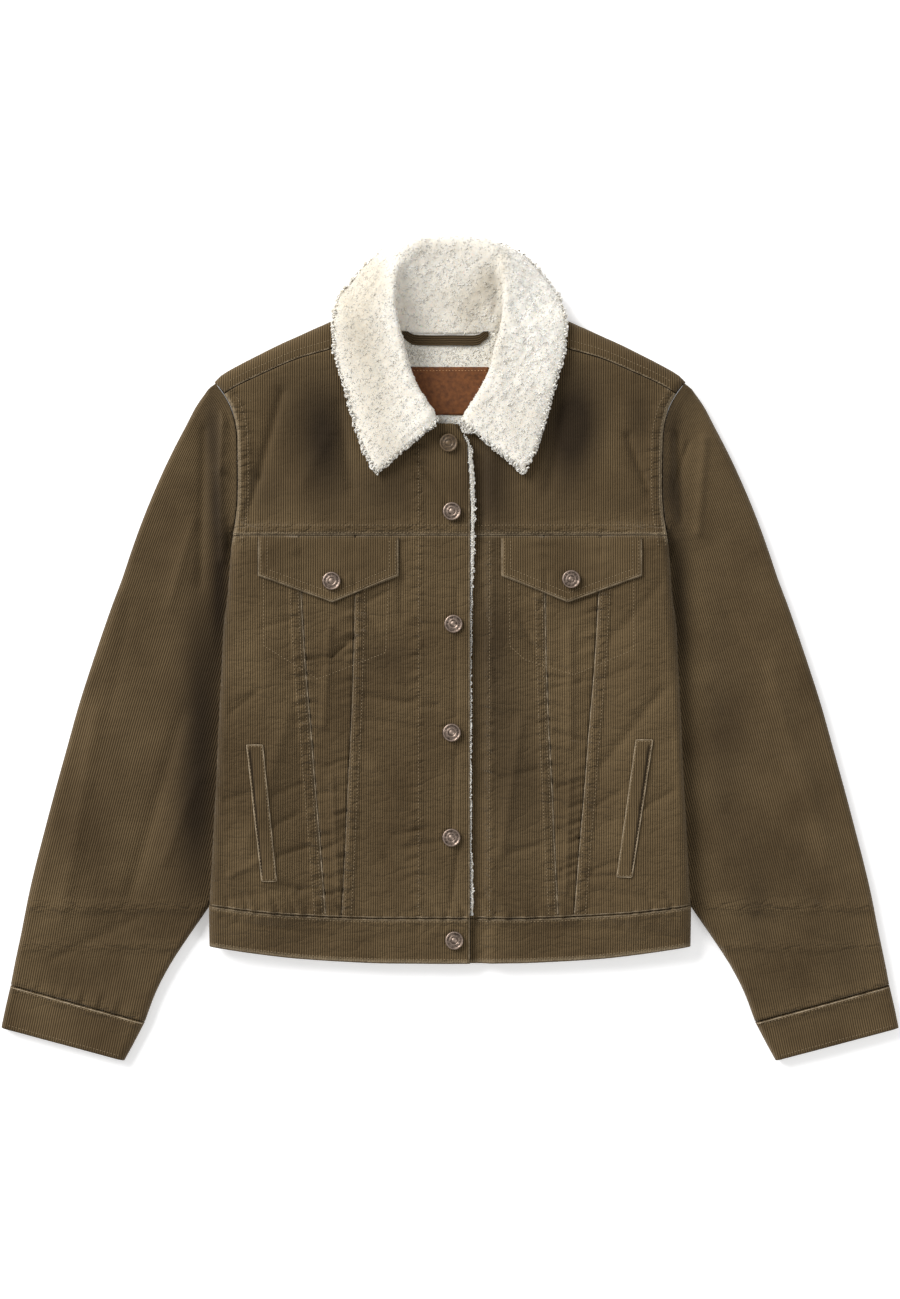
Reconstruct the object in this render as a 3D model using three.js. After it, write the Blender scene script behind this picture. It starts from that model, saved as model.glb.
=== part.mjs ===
// Sherpa lined corduroy jacket, buttoned and laid flat with its front up.
// X runs to the viewer's right, Y from the hem to the collar, Z up from the table.
// The wearer's right side is at negative X. All sizes are in millimetres.
import * as THREE from 'three';

// Heights and walls of the lying cloth.
const BODY_HEIGHT = 18;
const BODY_WALL = 7.5;
const PLACKET_RISE = 1;
const PLACKET_WALL = 3.4;
const UNDERLAP_HEIGHT = 12;
const UNDERLAP_WALL = 2.7;
const SLEEVE_HEIGHT = 14;
const TUCK_HEIGHT = 10;
const CUFF_HEIGHT = 13;
const WAIST_HEIGHT = 17;
const WAIST_WALL = 6.6;
const COLLAR_WALL = 8;
// How far the pile spreads beyond the rows at the free edge of the fall, on the wearer's right and left.
const SPREAD_RIGHT = 3.6;
const SPREAD_LEFT = 2.4;
const SIDE_LIFT = 11;
const LIFT_START_X = 118;
const LIFT_END_X = 178;

// Seams and closures.
const SEAM_GAP = 0.4;
const LAY_GAP = 0.5;
const ARMHOLE_GAP = 0.7;
const LAY_REACH = 6;
const YOKE_SEAM_Y = 106.5;
const OVERLAP_X = 18.7;
const UNDERLAP_X = 12;
const BACK_SEAM_Y = 112;
const ARC_STEPS = 3;

// Trims.
const FLAP_THICKNESS = 2.4;
const WELT_THICKNESS = 1.8;
const BUTTON_RADIUS = 8.5;
const BUTTON_SIDES = 16;
const LINING_BOTTOM = 7.8;
const LINING_TOP = 8.8;
const LABEL_BOTTOM = 9.1;
const LABEL_TOP = 10.1;
const LABEL_LEFT = -39.7;
const LABEL_RIGHT = 32;
const LABEL_LOW_Y = 223.5;
const LABEL_HIGH_Y = 262.5;
const LOOP_BOTTOM = 9.2;
const LOOP_TOP = 11.4;
const PILE_INSIDE_X = 6;
const PILE_OUTSIDE_X = 23.6;
const PILE_BOTTOM = 12.6;
const PILE_TOP = 15.1;
const PILE_CREST = 17;

function named(columns, rows) {
  return rows.map((row) => Object.fromEntries(columns.map((name, index) => [name, row[index]])));
}

// Half width of the body at its side, and above the underarm the armhole seam.
const SIDE_EDGE = named(['y', 'x'], [
  [-294, 225.4],
  [-276.5, 225.1],
  [-239, 224.6],
  [-216, 223.2],
  [-161, 220.4],
  [-118, 218],
  [-66, 215.8],
  [-14, 213],
  [23.4, 211.2],
  [50.4, 207.6],
  [78.5, 205.5],
  [97, 204],
  [116.8, 201],
  [143.8, 198.6],
  [172.8, 198.5],
  [198, 199],
  [223.2, 203.6],
  [238, 211],
  [250.3, 220.4],
]);

// Seams of the tapered insert in each front.
const INSERT_SEAMS = named(['y', 'inner', 'outer'], [
  [-252, 101.8, 115.3],
  [-181, 98, 120.8],
  [-127, 95.7, 125.4],
  [-77.5, 92.9, 129.1],
  [-15, 90.6, 134.4],
  [51, 89.2, 138.2],
  [106.5, 88, 141],
]);

// Seam above the waistband and the lower edge of the waistband.
const WAIST_LINES = named(['x', 'seam', 'hem'], [
  [0, -251, -293.7],
  [60, -251.2, -293.2],
  [100, -250.2, -291.6],
  [140, -248, -289],
  [180, -244.2, -284.3],
  [226, -238.2, -277.2],
]);

// Upper edge of the back: neckline, then the fold along the shoulder.
const BACK_TOP = named(['x', 'y'], [
  [0, 291.3],
  [25, 292.2],
  [50, 295.2],
  [65, 298.2],
  [80, 302.2],
  [90, 307.2],
  [97, 311.2],
  [121.4, 302.6],
  [140, 294.2],
  [158.8, 285.8],
  [177.5, 276.5],
  [196, 267],
  [214.8, 256],
  [220.4, 250.3],
]);

// Seam where the back yoke comes over the shoulder to the front.
const SHOULDER_SEAM = named(['x', 'y'], [
  [85, 289.1],
  [112, 280.2],
  [141, 271.8],
  [171.9, 258.7],
  [199.9, 245.6],
  [211.3, 238.6],
]);

// Inner edge of each front yoke, from its seam up the front edge and round the neckline.
const YOKE_INNER_EDGE = named(['over', 'under', 'y'], [
  [-19, -12, 106.5],
  [-19.8, -12, 128],
  [-18.6, -12, 150],
  [-17.3, -12, 172],
  [-16.2, -12, 192],
  [-9.6, -10, 203.5],
  [-3, -6, 211],
  [11, 11, 211],
  [31, 31, 220.5],
  [52, 52, 235.5],
  [67, 67, 258],
  [80.4, 80.4, 280.3],
  [85, 85, 289.1],
]);

// Sections of the sleeve: its edge at the armhole and under the body, and its outer edge.
const SLEEVE_ROWS = named(['innerX', 'innerY', 'outerX', 'outerY', 'roll'], [
  [218.8, 248.2, 227, 242.5, 0],
  [211.4, 238, 237.5, 228, 0],
  [204, 223, 247.5, 209, 0],
  [199.4, 199, 258.5, 188, 0],
  [198.9, 172.8, 269.5, 165, 0],
  [199, 143.8, 281, 138.5, 0],
  [201.4, 116.8, 291, 113, 0.1],
  [204, 97, 299.5, 89, 0.5],
  [198, 72, 307, 66.5, 1],
  [186, 35, 316.6, 41, 1],
  [178, 0, 325, 17, 1],
  [175, -45, 335.6, -14.5, 1],
  [178, -90, 347.6, -52, 1],
  [186, -135, 359.3, -94, 1],
  [198, -182, 371, -136.4, 1],
  [213, -221, 380.8, -173.6, 1],
  [227.5, -243.5, 387.6, -200, 1],
  [244, -267.5, 394.4, -229, 1],
  [262, -295, 401.6, -265.5, 1],
  [275.5, -321, 407.3, -292.6, 1],
  [285.6, -348, 411.3, -313.4, 1],
]);

// Sections of the cuff from its seam to its edge.
const CUFF_ROWS = named(['innerX', 'innerY', 'outerX', 'outerY'], [
  [285.9, -348.9, 411.5, -314.3],
  [295.4, -367.2, 416.2, -334.5],
  [305, -384.8, 420.3, -354],
]);

// Sections of the collar from its front end to the centre of the back, on the middle of its wall:
// the neck seam, the roll and the free edge.
const COLLAR_ROWS = named(
  ['neckX', 'neckY', 'neckZ', 'rollX', 'rollY', 'rollZ', 'edgeX', 'edgeY', 'edgeZ'],
  [
    [20, 223, 15, 14, 212, 28.5, 65.5, 165.5, 23.2],
    [31, 230, 14.5, 22.5, 226, 30, 78, 190, 23],
    [46, 241, 14, 33, 243, 31.5, 88.5, 224, 22.8],
    [61, 261.5, 14, 40.5, 261, 32.5, 97, 255, 22.8],
    [75, 283, 13.5, 46, 281, 33.5, 103.5, 279, 22.8],
    [84, 300, 12, 50.5, 302, 36, 105, 302, 22.6],
    [89, 313, 9, 53, 324, 37.5, 100.5, 325, 12],
    [73, 305.5, 6, 52, 345, 36.5, 87, 346.5, 6],
    [50, 297.5, 5, 45.5, 365, 33, 67, 367.5, 3.5],
    [25, 293.6, 5, 27, 377.8, 29, 41, 377.5, 3],
    [0, 292.4, 5, 0, 380.3, 27, 0, 378, 3],
  ],
);

// The largest folds of the fronts: a line, its rise or depth and its half width.
const FRONT_FOLDS = named(['fromX', 'fromY', 'toX', 'toY', 'rise', 'spread'], [
  [-157, 240, -179, 161, -1.6, 11],
  [-179, 161, -190, 126, -1.3, 9],
  [166, 199, 186, 146, -1.8, 10],
  [-104, 228, -92, 150, -1.4, 14],
  [104, 228, 92, 150, -1.4, 14],
  [-31, 176, -3, 142, -1, 8],
  [-80, -44, -14, -53, -1.3, 9],
  [-70, -112, -32, -160, 1.1, 12],
  [66, -70, 48, -190, 1, 12],
  [-150, -60, -190, -190, 1, 16],
  [140, -110, 196, -40, -1.2, 14],
  [-112, 20, -118, -70, 1.2, 11],
  [112, 16, 112, -90, 1.2, 11],
]);

// The largest folds of the sleeves.
const SLEEVE_FOLDS = named(['fromX', 'fromY', 'toX', 'toY', 'rise', 'spread'], [
  [-212, 218, -214, 168, 1.6, 8],
  [-214, 168, -213, 84, 1.4, 8],
  [-230, 205, -234, 60, -1.5, 12],
  [-250, -60, -300, -230, -1.3, 16],
  [-330, -60, -362, -250, 1.2, 18],
  [212, 200, 216, 120, -1.6, 9],
  [238, 196, 232, 110, 1.3, 12],
  [246, -40, 318, -120, -1.4, 15],
  [262, -150, 352, -236, -1.4, 15],
  [300, -20, 352, -200, 1.1, 16],
]);

function clamp(value, low, high) {
  return Math.min(high, Math.max(low, value));
}

function ramp(from, to, at) {
  const share = clamp((at - from) / (to - from), 0, 1);
  return share * share * (3 - 2 * share);
}

function mix(a, b, share) {
  return a + (b - a) * share;
}

// Smooth curve through one column of a table, without overshoot.
function curve(table, key, value) {
  const keys = table.map((row) => row[key]);
  const values = table.map((row) => row[value]);
  const last = keys.length - 1;
  const rate = keys.slice(1).map((k, i) => (values[i + 1] - values[i]) / (k - keys[i]));
  const slope = keys.map((k, i) => {
    if (i === 0 || i === last) {
      return rate[i === 0 ? 0 : last - 1];
    }
    return rate[i - 1] * rate[i] <= 0 ? 0 : (2 * rate[i - 1] * rate[i]) / (rate[i - 1] + rate[i]);
  });
  return (at) => {
    const held = clamp(at, keys[0], keys[last]);
    const i = clamp(keys.findIndex((k) => k > held) - 1, 0, last - 1);
    const index = held >= keys[last] ? last - 1 : i;
    const span = keys[index + 1] - keys[index];
    const t = (held - keys[index]) / span;
    const rest = 1 - t;
    return values[index] * (1 + 2 * t) * rest * rest
      + values[index + 1] * t * t * (3 - 2 * t)
      + slope[index] * span * t * rest * rest
      - slope[index + 1] * span * t * t * rest;
  };
}

const sideEdge = curve(SIDE_EDGE, 'y', 'x');
const insertInner = curve(INSERT_SEAMS, 'y', 'inner');
const insertOuter = curve(INSERT_SEAMS, 'y', 'outer');
const waistSeam = curve(WAIST_LINES, 'x', 'seam');
const hemLine = curve(WAIST_LINES, 'x', 'hem');
const backTop = curve(BACK_TOP, 'x', 'y');
const shoulderSeam = curve(SHOULDER_SEAM, 'x', 'y');

// Height that the body side gains where it lies over the sleeve.
function lift(x, y) {
  const across = ramp(LIFT_START_X, LIFT_END_X, Math.abs(x));
  const along = ramp(124, 94, y) * (1 - 0.8 * ramp(-240, -292, y));
  return SIDE_LIFT * across * along;
}

// Rise or depth of a set of folds at one place.
function foldHeight(folds, x, y) {
  let height = 0;
  for (const fold of folds) {
    const runX = fold.toX - fold.fromX;
    const runY = fold.toY - fold.fromY;
    const share = ((x - fold.fromX) * runX + (y - fold.fromY) * runY) / (runX * runX + runY * runY);
    const held = clamp(share, 0, 1);
    const away = Math.hypot(x - fold.fromX - held * runX, y - fold.fromY - held * runY);
    height += fold.rise * Math.exp(-((away / fold.spread) ** 2));
  }
  return height;
}

// Outer height and wall of the wearer's right front, which lies over the other one.
function overCloth(x, y) {
  const out = -x;
  return {
    height: BODY_HEIGHT + PLACKET_RISE * ramp(34, 20, out),
    wall: mix(BODY_WALL, PLACKET_WALL, ramp(28, 15, out)),
  };
}

// Outer height and wall of the left front, which runs under the other one.
function underCloth(x, y) {
  return {
    height: mix(BODY_HEIGHT, UNDERLAP_HEIGHT, ramp(41, 28, x)),
    wall: mix(BODY_WALL, UNDERLAP_WALL, ramp(41, 28, x)),
  };
}

function bodyCloth() {
  return { height: BODY_HEIGHT, wall: BODY_WALL };
}

function waistCloth(cloth) {
  const drop = BODY_HEIGHT - WAIST_HEIGHT;
  return (x, y) => {
    const plain = cloth(x, y);
    return { height: plain.height - drop, wall: Math.min(plain.wall, WAIST_WALL) };
  };
}

function sleeveCloth(x, y) {
  const beyond = Math.abs(x) - sideEdge(clamp(y, -276, 250));
  const headShare = ramp(94, 124, y);
  const tuckShare = (1 - headShare) * ramp(-262, -238, y);
  const near = mix(SLEEVE_HEIGHT, BODY_HEIGHT, headShare) - (SLEEVE_HEIGHT - TUCK_HEIGHT) * tuckShare;
  const height = mix(near, SLEEVE_HEIGHT, ramp(1, 34, beyond));
  return { height, wall: 0.3875 * height + 0.55 };
}

function cuffCloth() {
  return { height: CUFF_HEIGHT, wall: 5.5 };
}

// Closed wall between an outer and an inner grid of points. A grid is a list of rows.
function wallGeometry(outer, inner, openEnd = () => false, openStart = () => false) {
  const positions = [];
  const rows = outer.length;
  const columns = outer[0].length;
  const corner = (grid, row, column) => grid[row][column];
  const quad = (a, b, c, d) => {
    for (const point of [a, b, c, a, c, d]) {
      positions.push(point.x, point.y, point.z);
    }
  };
  for (let r = 0; r + 1 < rows; r += 1) {
    for (let c = 0; c + 1 < columns; c += 1) {
      quad(corner(outer, r, c), corner(outer, r, c + 1), corner(outer, r + 1, c + 1), corner(outer, r + 1, c));
      quad(corner(inner, r, c), corner(inner, r + 1, c), corner(inner, r + 1, c + 1), corner(inner, r, c + 1));
    }
    const e = columns - 1;
    quad(corner(outer, r, 0), corner(outer, r + 1, 0), corner(inner, r + 1, 0), corner(inner, r, 0));
    quad(corner(outer, r, e), corner(inner, r, e), corner(inner, r + 1, e), corner(outer, r + 1, e));
  }
  for (let c = 0; c + 1 < columns; c += 1) {
    const l = rows - 1;
    if (!openStart(c)) {
      quad(corner(outer, 0, c), corner(inner, 0, c), corner(inner, 0, c + 1), corner(outer, 0, c + 1));
    }
    if (!openEnd(c)) {
      quad(corner(outer, l, c), corner(outer, l, c + 1), corner(inner, l, c + 1), corner(inner, l, c));
    }
  }
  return facingOut(positions);
}

// Turns the triangles round if they enclose a negative volume.
function facingOut(positions) {
  let volume = 0;
  for (let i = 0; i < positions.length; i += 9) {
    const a = new THREE.Vector3().fromArray(positions, i);
    const b = new THREE.Vector3().fromArray(positions, i + 3);
    const c = new THREE.Vector3().fromArray(positions, i + 6);
    volume += a.dot(b.cross(c)) / 6;
  }
  if (volume < 0) {
    for (let i = 0; i < positions.length; i += 9) {
      for (let k = 0; k < 3; k += 1) {
        const held = positions[i + 3 + k];
        positions[i + 3 + k] = positions[i + 6 + k];
        positions[i + 6 + k] = held;
      }
    }
  }
  const geometry = new THREE.BufferGeometry();
  geometry.setAttribute('position', new THREE.Float32BufferAttribute(positions, 3));
  geometry.computeVertexNormals();
  return geometry;
}

// One section of a wall. The path gives its line in plan; a roll of 1 folds an end down to half height.
function wallRow({ path, layer, cloth, folds, flats, startRoll, endRoll, lifted }) {
  const first = path(0);
  const last = path(1);
  const length = Math.hypot(last.x - first.x, last.y - first.y);
  const outer = [];
  const inner = [];
  const half = SEAM_GAP / 2;
  const put = (list, distance, z) => {
    const place = path(distance / length);
    const raise = lifted ? lift(place.x, place.y) : 0;
    list.push(new THREE.Vector3(place.x, place.y, z + raise));
  };
  const radiusAt = (end) => Math.min(cloth(end.x, end.y).height / 2, 0.42 * length);
  const startRadius = startRoll === null ? 0 : radiusAt(first);
  const endRadius = endRoll === null ? 0 : radiusAt(last);
  const arc = (end, roll, radius, order) => {
    const { height, wall } = cloth(end.x, end.y);
    for (const step of order) {
      const angle = (step / ARC_STEPS) * (Math.PI / 2);
      const stay = 1 - roll * (1 - Math.cos(angle));
      const inset = Math.min(roll * wall, radius);
      const outerAway = radius * (1 - Math.sin(angle));
      const innerAway = inset + (radius - inset) * (1 - Math.sin(angle));
      const outerZ = height / 2 + layer * (half + (height / 2 - half) * stay);
      const innerZ = height / 2 + layer * (half + (height / 2 - wall - half) * stay);
      put(outer, end === first ? outerAway : length - outerAway, outerZ);
      put(inner, end === first ? innerAway : length - innerAway, innerZ);
    }
  };
  const steps = Array.from({ length: ARC_STEPS }, (_, i) => i + 1);
  if (startRoll !== null) {
    arc(first, startRoll, startRadius, [...steps].reverse());
  }
  for (const share of flats) {
    const distance = mix(startRadius, length - endRadius, share);
    const place = path(distance / length);
    const { height, wall } = cloth(place.x, place.y);
    const fade = Math.min(ramp(0, 8, distance), ramp(length, length - 8, distance));
    const relief = layer > 0 ? fade * foldHeight(folds, place.x, place.y) : 0;
    put(outer, distance, layer > 0 ? height + relief : 0);
    put(inner, distance, layer > 0 ? height - wall : wall);
  }
  if (endRoll !== null) {
    arc(last, endRoll, endRadius, steps);
  }
  return { outer, inner };
}

function wallOfRows(rows) {
  return wallGeometry(rows.map((row) => row.outer), rows.map((row) => row.inner));
}

function evenly(count) {
  return Array.from({ length: count + 1 }, (_, i) => i / count);
}

const materials = {
  corduroy: { color: 0x55462f, roughness: 0.95 },
  sherpa: { color: 0xe9e1d0, roughness: 1 },
  leather: { color: 0x5d3420, roughness: 0.7 },
  buttonMetal: { color: 0x7d6350, roughness: 0.45, metalness: 0.8 },
};
const model = new THREE.Group();
model.name = 'sherpa_lined_jacket';

function add(name, geometry, look) {
  const mesh = new THREE.Mesh(geometry, new THREE.MeshStandardMaterial(materials[look]));
  mesh.name = name;
  model.add(mesh);
  return mesh;
}

// Front panels below the yoke. A side of -1 is the wearer's right.
function lowerFront(side, fromX, toX, fractions, endRoll, cloth) {
  const half = SEAM_GAP / 2;
  const top = YOKE_SEAM_Y - half;
  const rows = evenly(12).map((v) => {
    const level = mix(-250, YOKE_SEAM_Y, v);
    const path = (u) => {
      const guess = mix(fromX(level), toX(level), u);
      const y = mix(waistSeam(Math.abs(guess)) + half, top, v);
      return { x: side * mix(fromX(y), toX(y), u), y };
    };
    const roll = endRoll ? ramp(124, 94, level) : null;
    return wallRow({
      path, layer: 1, cloth, folds: FRONT_FOLDS, flats: fractions, startRoll: null, endRoll: roll, lifted: true,
    });
  });
  return wallOfRows(rows);
}

function buildFronts() {
  const half = SEAM_GAP / 2;
  const overFractions = [0, 0.1, 0.2, 0.29, 0.36, 0.44, 0.55, 0.75, 1];
  const underFractions = [0, 0.2, 0.36, 0.42, 0.47, 0.52, 0.7, 0.86, 1];
  const insertFractions = [0, 0.34, 0.67, 1];
  const sideFractions = [0, 0.22, 0.44, 0.66, 0.84, 1];
  for (const [word, side] of [['right', -1], ['left', 1]]) {
    const over = side < 0;
    const cloth = over ? overCloth : underCloth;
    const frontEdge = () => (over ? -OVERLAP_X : -UNDERLAP_X);
    const seamIn = (y) => insertInner(y) - half;
    const seamOut = (y) => insertOuter(y) + half;
    const bodyEdge = (y) => sideEdge(y) - half;
    const fractions = over ? overFractions : underFractions;
    add(`front_centre_${word}`, lowerFront(side, frontEdge, seamIn, fractions, false, cloth), 'corduroy');
    add(`front_insert_${word}`, lowerFront(side, (y) => insertInner(y) + half,
      (y) => insertOuter(y) - half, insertFractions, false, bodyCloth), 'corduroy');
    add(`front_side_${word}`, lowerFront(side, seamOut, bodyEdge, sideFractions, true, bodyCloth), 'corduroy');
    add(`front_yoke_${word}`, frontYoke(side, over, cloth), 'corduroy');
  }
}

function frontYoke(side, over, cloth) {
  const half = SEAM_GAP / 2;
  const last = YOKE_INNER_EDGE.length - 1;
  const fractions = [0, 0.07, 0.135, 0.175, 0.25, 0.36, 0.52, 0.68, 0.84, 1];
  const rows = YOKE_INNER_EDGE.map((edge, index) => {
    const v = index / last;
    const innerX = over ? edge.over : edge.under;
    const innerY = edge.y + (index === 0 ? half : 0) - (index === last ? half : 0);
    const outerY = mix(YOKE_SEAM_Y + half, 238.6 - half, v);
    const outerX = sideEdge(outerY) - half;
    const path = (u) => {
      const x = mix(innerX, outerX, u);
      const chord = mix(innerY, outerY, u);
      const bow = shoulderSeam(mix(85, 211.3, u)) - mix(289.1, 238.6, u);
      return { x: side * x, y: chord + bow * v };
    };
    return wallRow({
      path, layer: 1, cloth, folds: FRONT_FOLDS, flats: fractions, startRoll: null, endRoll: null, lifted: true,
    });
  });
  return wallOfRows(rows);
}

function buildBack() {
  const half = SEAM_GAP / 2;
  const fractions = [0, 0.08, 0.16, 0.24, 0.5, 0.76, 0.84, 0.92, 1];
  const rows = evenly(11).map((v) => {
    const level = mix(-250, BACK_SEAM_Y, v);
    const path = (u) => {
      const share = 2 * u - 1;
      const guess = Math.abs(share) * sideEdge(level);
      const y = mix(waistSeam(guess) + half, BACK_SEAM_Y - half, v);
      return { x: share * (sideEdge(y) - half), y };
    };
    const roll = ramp(124, 94, level);
    return wallRow({
      path, layer: -1, cloth: bodyCloth, folds: [], flats: fractions, startRoll: roll, endRoll: roll, lifted: true,
    });
  });
  add('back_panel', wallOfRows(rows), 'corduroy');
  add('back_yoke', backYoke(), 'corduroy');
}

// The back yoke: a flat plate behind, and a strip that comes over each shoulder to the front seam.
function backYoke() {
  const half = SEAM_GAP / 2;
  const stations = [0, 25, 50, 72, 97, 121, 146, 171, 196, 220.2];
  const columns = [...stations.slice(1).reverse().map((x) => -x), ...stations];
  const foldFrom = 97;
  const levels = [0, 0.3, 0.6, 0.85];
  const section = (x) => {
    const out = Math.abs(x);
    const share = out / 220.2;
    const topY = backTop(out) - (out < foldFrom ? half : 0);
    const outer = [];
    const inner = [];
    const put = (list, y, z, wide) => {
      const edge = share > 0.999 ? sideEdge(Math.min(y, 250.3)) - half : wide;
      const px = Math.sign(x) * (share > 0.999 ? edge : wide);
      list.push(new THREE.Vector3(px, y, z + lift(px, y)));
    };
    const wideAt = (y) => share * (sideEdge(Math.min(y, 250.3)) - half)
      + (out - share * (sideEdge(250.3) - half)) * ramp(BACK_SEAM_Y, topY, y);
    const roll = out >= foldFrom ? 1 : 0;
    const radius = BODY_HEIGHT / 2;
    const lowY = BACK_SEAM_Y + half;
    for (const level of levels) {
      const y = mix(lowY, topY - radius, level);
      put(outer, y, 0, wideAt(y));
      put(inner, y, BODY_WALL, wideAt(y));
    }
    for (let step = 0; step <= ARC_STEPS; step += 1) {
      const angle = (step / ARC_STEPS) * (Math.PI / 2);
      const drop = roll * (1 - Math.cos(angle));
      const outerY = topY - radius * (1 - Math.sin(angle));
      const inset = roll * BODY_WALL;
      const innerY = topY - inset - (radius - inset) * (1 - Math.sin(angle));
      put(outer, outerY, radius * drop, wideAt(outerY));
      put(inner, innerY, BODY_WALL + (radius - BODY_WALL) * drop, wideAt(innerY));
    }
    return { outer, inner };
  };
  const plate = columns.map(section);
  const endIsShared = (c) => Math.abs(columns[c]) >= foldFrom && Math.abs(columns[c + 1]) >= foldFrom;
  const across = (grid, key) => grid[0][key].map((_, row) => grid.map((column) => column[key][row]));
  const plateGeometry = wallGeometry(across(plate, 'outer'), across(plate, 'inner'), endIsShared);
  const strips = [-1, 1].map((side) => {
    const over = stations.filter((x) => x >= foldFrom);
    const grid = over.map((out, index) => {
      const base = plate[columns.indexOf(side * out)];
      const end = { outer: base.outer[base.outer.length - 1], inner: base.inner[base.inner.length - 1] };
      const share = index / (over.length - 1);
      const seamX = mix(85, 211.1, share);
      const seamY = shoulderSeam(seamX) + 2 * SEAM_GAP;
      const topY = backTop(out);
      const radius = BODY_HEIGHT / 2;
      const outer = [end.outer];
      const inner = [end.inner];
      for (let step = ARC_STEPS - 1; step >= 0; step -= 1) {
        const angle = (step / ARC_STEPS) * (Math.PI / 2);
        const rise = 1 - Math.cos(angle);
        const outerY = topY - radius * (1 - Math.sin(angle));
        const innerY = topY - BODY_WALL - (radius - BODY_WALL) * (1 - Math.sin(angle));
        const bend = (y) => mix(end.outer.x, side * seamX, ramp(topY, seamY, y));
        outer.push(new THREE.Vector3(bend(outerY), outerY, BODY_HEIGHT - radius * rise));
        inner.push(new THREE.Vector3(bend(innerY), innerY,
          BODY_HEIGHT - BODY_WALL - (radius - BODY_WALL) * rise));
      }
      const flatY = topY - radius;
      for (const level of [0.5, 1]) {
        const y = mix(flatY, seamY, level);
        const x = mix(end.outer.x, side * seamX, ramp(topY, seamY, y));
        outer.push(new THREE.Vector3(x, y, BODY_HEIGHT));
        inner.push(new THREE.Vector3(x, y, BODY_HEIGHT - BODY_WALL));
      }
      return { outer, inner };
    });
    return wallGeometry(across(grid, 'outer'), across(grid, 'inner'), () => false, () => true);
  });
  const positions = [plateGeometry, ...strips].flatMap((part) => Array.from(part.attributes.position.array));
  return facingOut(positions);
}

function waistRows(side, fromX, toX, flats, layer, rolls, cloth) {
  const half = SEAM_GAP / 2;
  return evenly(2).map((v) => {
    const path = (u) => {
      const x = mix(fromX, toX, u);
      const out = Math.abs(x);
      return { x: side * x, y: mix(hemLine(out), waistSeam(out) - half, v) };
    };
    return wallRow({
      path, layer, cloth, folds: [], flats, startRoll: rolls[0], endRoll: rolls[1], lifted: true,
    });
  });
}

function buildWaistband() {
  const edge = sideEdge(-260);
  const fractions = [0, 0.07, 0.13, 0.2, 0.3, 0.45, 0.6, 0.72, 0.86, 1];
  const backFractions = [0, 0.1, 0.2, 0.3, 0.5, 0.7, 0.8, 0.9, 1];
  add('waistband_right', wallOfRows(waistRows(-1, -OVERLAP_X, edge, fractions, 1, [null, 1],
    waistCloth(overCloth))), 'corduroy');
  add('waistband_left', wallOfRows(waistRows(1, -UNDERLAP_X, edge, fractions, 1, [null, 1],
    waistCloth(underCloth))), 'corduroy');
  add('waistband_back', wallOfRows(waistRows(1, -edge, edge, backFractions, -1, [1, 1],
    waistCloth(bodyCloth))), 'corduroy');
}

function tubeRows(table, side, layer, cloth, flats, roll) {
  return table.map((row) => {
    const closing = (1 - (row.roll ?? 1)) * ARMHOLE_GAP;
    const path = (u) => ({
      x: side * (mix(row.innerX, row.outerX, u) + closing * (1 - u)),
      y: mix(row.innerY, row.outerY, u),
    });
    return wallRow({
      path, layer, cloth, folds: SLEEVE_FOLDS, flats, startRoll: roll ?? row.roll, endRoll: 1, lifted: false,
    });
  });
}

function buildSleeves() {
  const flats = [0, 0.16, 0.34, 0.56, 0.78, 1];
  const underFlats = [0, 0.3, 0.65, 1];
  for (const [word, side] of [['right', -1], ['left', 1]]) {
    add(`sleeve_top_${word}`, wallOfRows(tubeRows(SLEEVE_ROWS, side, 1, sleeveCloth, flats)), 'corduroy');
    add(`sleeve_under_${word}`, wallOfRows(tubeRows(SLEEVE_ROWS, side, -1, sleeveCloth, underFlats)), 'corduroy');
    add(`cuff_top_${word}`, wallOfRows(tubeRows(CUFF_ROWS, side, 1, cuffCloth, underFlats, 1)), 'corduroy');
    add(`cuff_under_${word}`, wallOfRows(tubeRows(CUFF_ROWS, side, -1, cuffCloth, underFlats, 1)), 'corduroy');
  }
}

function buildCollar() {
  const stations = COLLAR_ROWS.length;
  const section = (row, side) => {
    const neck = new THREE.Vector3(row.neckX * side, row.neckY, row.neckZ);
    const roll = new THREE.Vector3(row.rollX * side, row.rollY, row.rollZ);
    const free = THREE.MathUtils.smoothstep(350 - row.edgeY, 0, 28);
    const spread = free * (side < 0 ? SPREAD_RIGHT : SPREAD_LEFT);
    const edge = new THREE.Vector3((row.edgeX + spread) * side, row.edgeY, row.edgeZ);
    const stand = neck.clone().lerp(roll, 0.5);
    const fall = roll.clone().lerp(edge, 0.4);
    fall.z += 0.1 * (roll.z - edge.z);
    return new THREE.CatmullRomCurve3([neck, stand, roll, fall, edge]);
  };
  const grid = [];
  for (let k = 0; k < 2 * stations - 1; k += 1) {
    const side = k < stations ? -1 : 1;
    const row = COLLAR_ROWS[k < stations ? k : 2 * stations - 2 - k];
    const line = section(row, side);
    const shares = [0, 0.12, 0.25, 0.37, 0.45, 0.5, 0.56, 0.64, 0.76, 0.88, 1];
    grid.push(shares.map((t) => line.getPoint(t)));
  }
  const wallPoint = (r, c, away) => {
    const up = grid[Math.min(r + 1, grid.length - 1)][c].clone().sub(grid[Math.max(r - 1, 0)][c]);
    const last = grid[0].length - 1;
    const over = grid[r][Math.min(c + 1, last)].clone().sub(grid[r][Math.max(c - 1, 0)]);
    const normal = over.cross(up).normalize();
    return grid[r][c].clone().addScaledVector(normal, away);
  };
  const face = (away) => grid.map((row, r) => row.map((_, c) => wallPoint(r, c, away)));
  add('collar', wallGeometry(face(COLLAR_WALL / 2), face(-COLLAR_WALL / 2)), 'sherpa');
}

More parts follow.
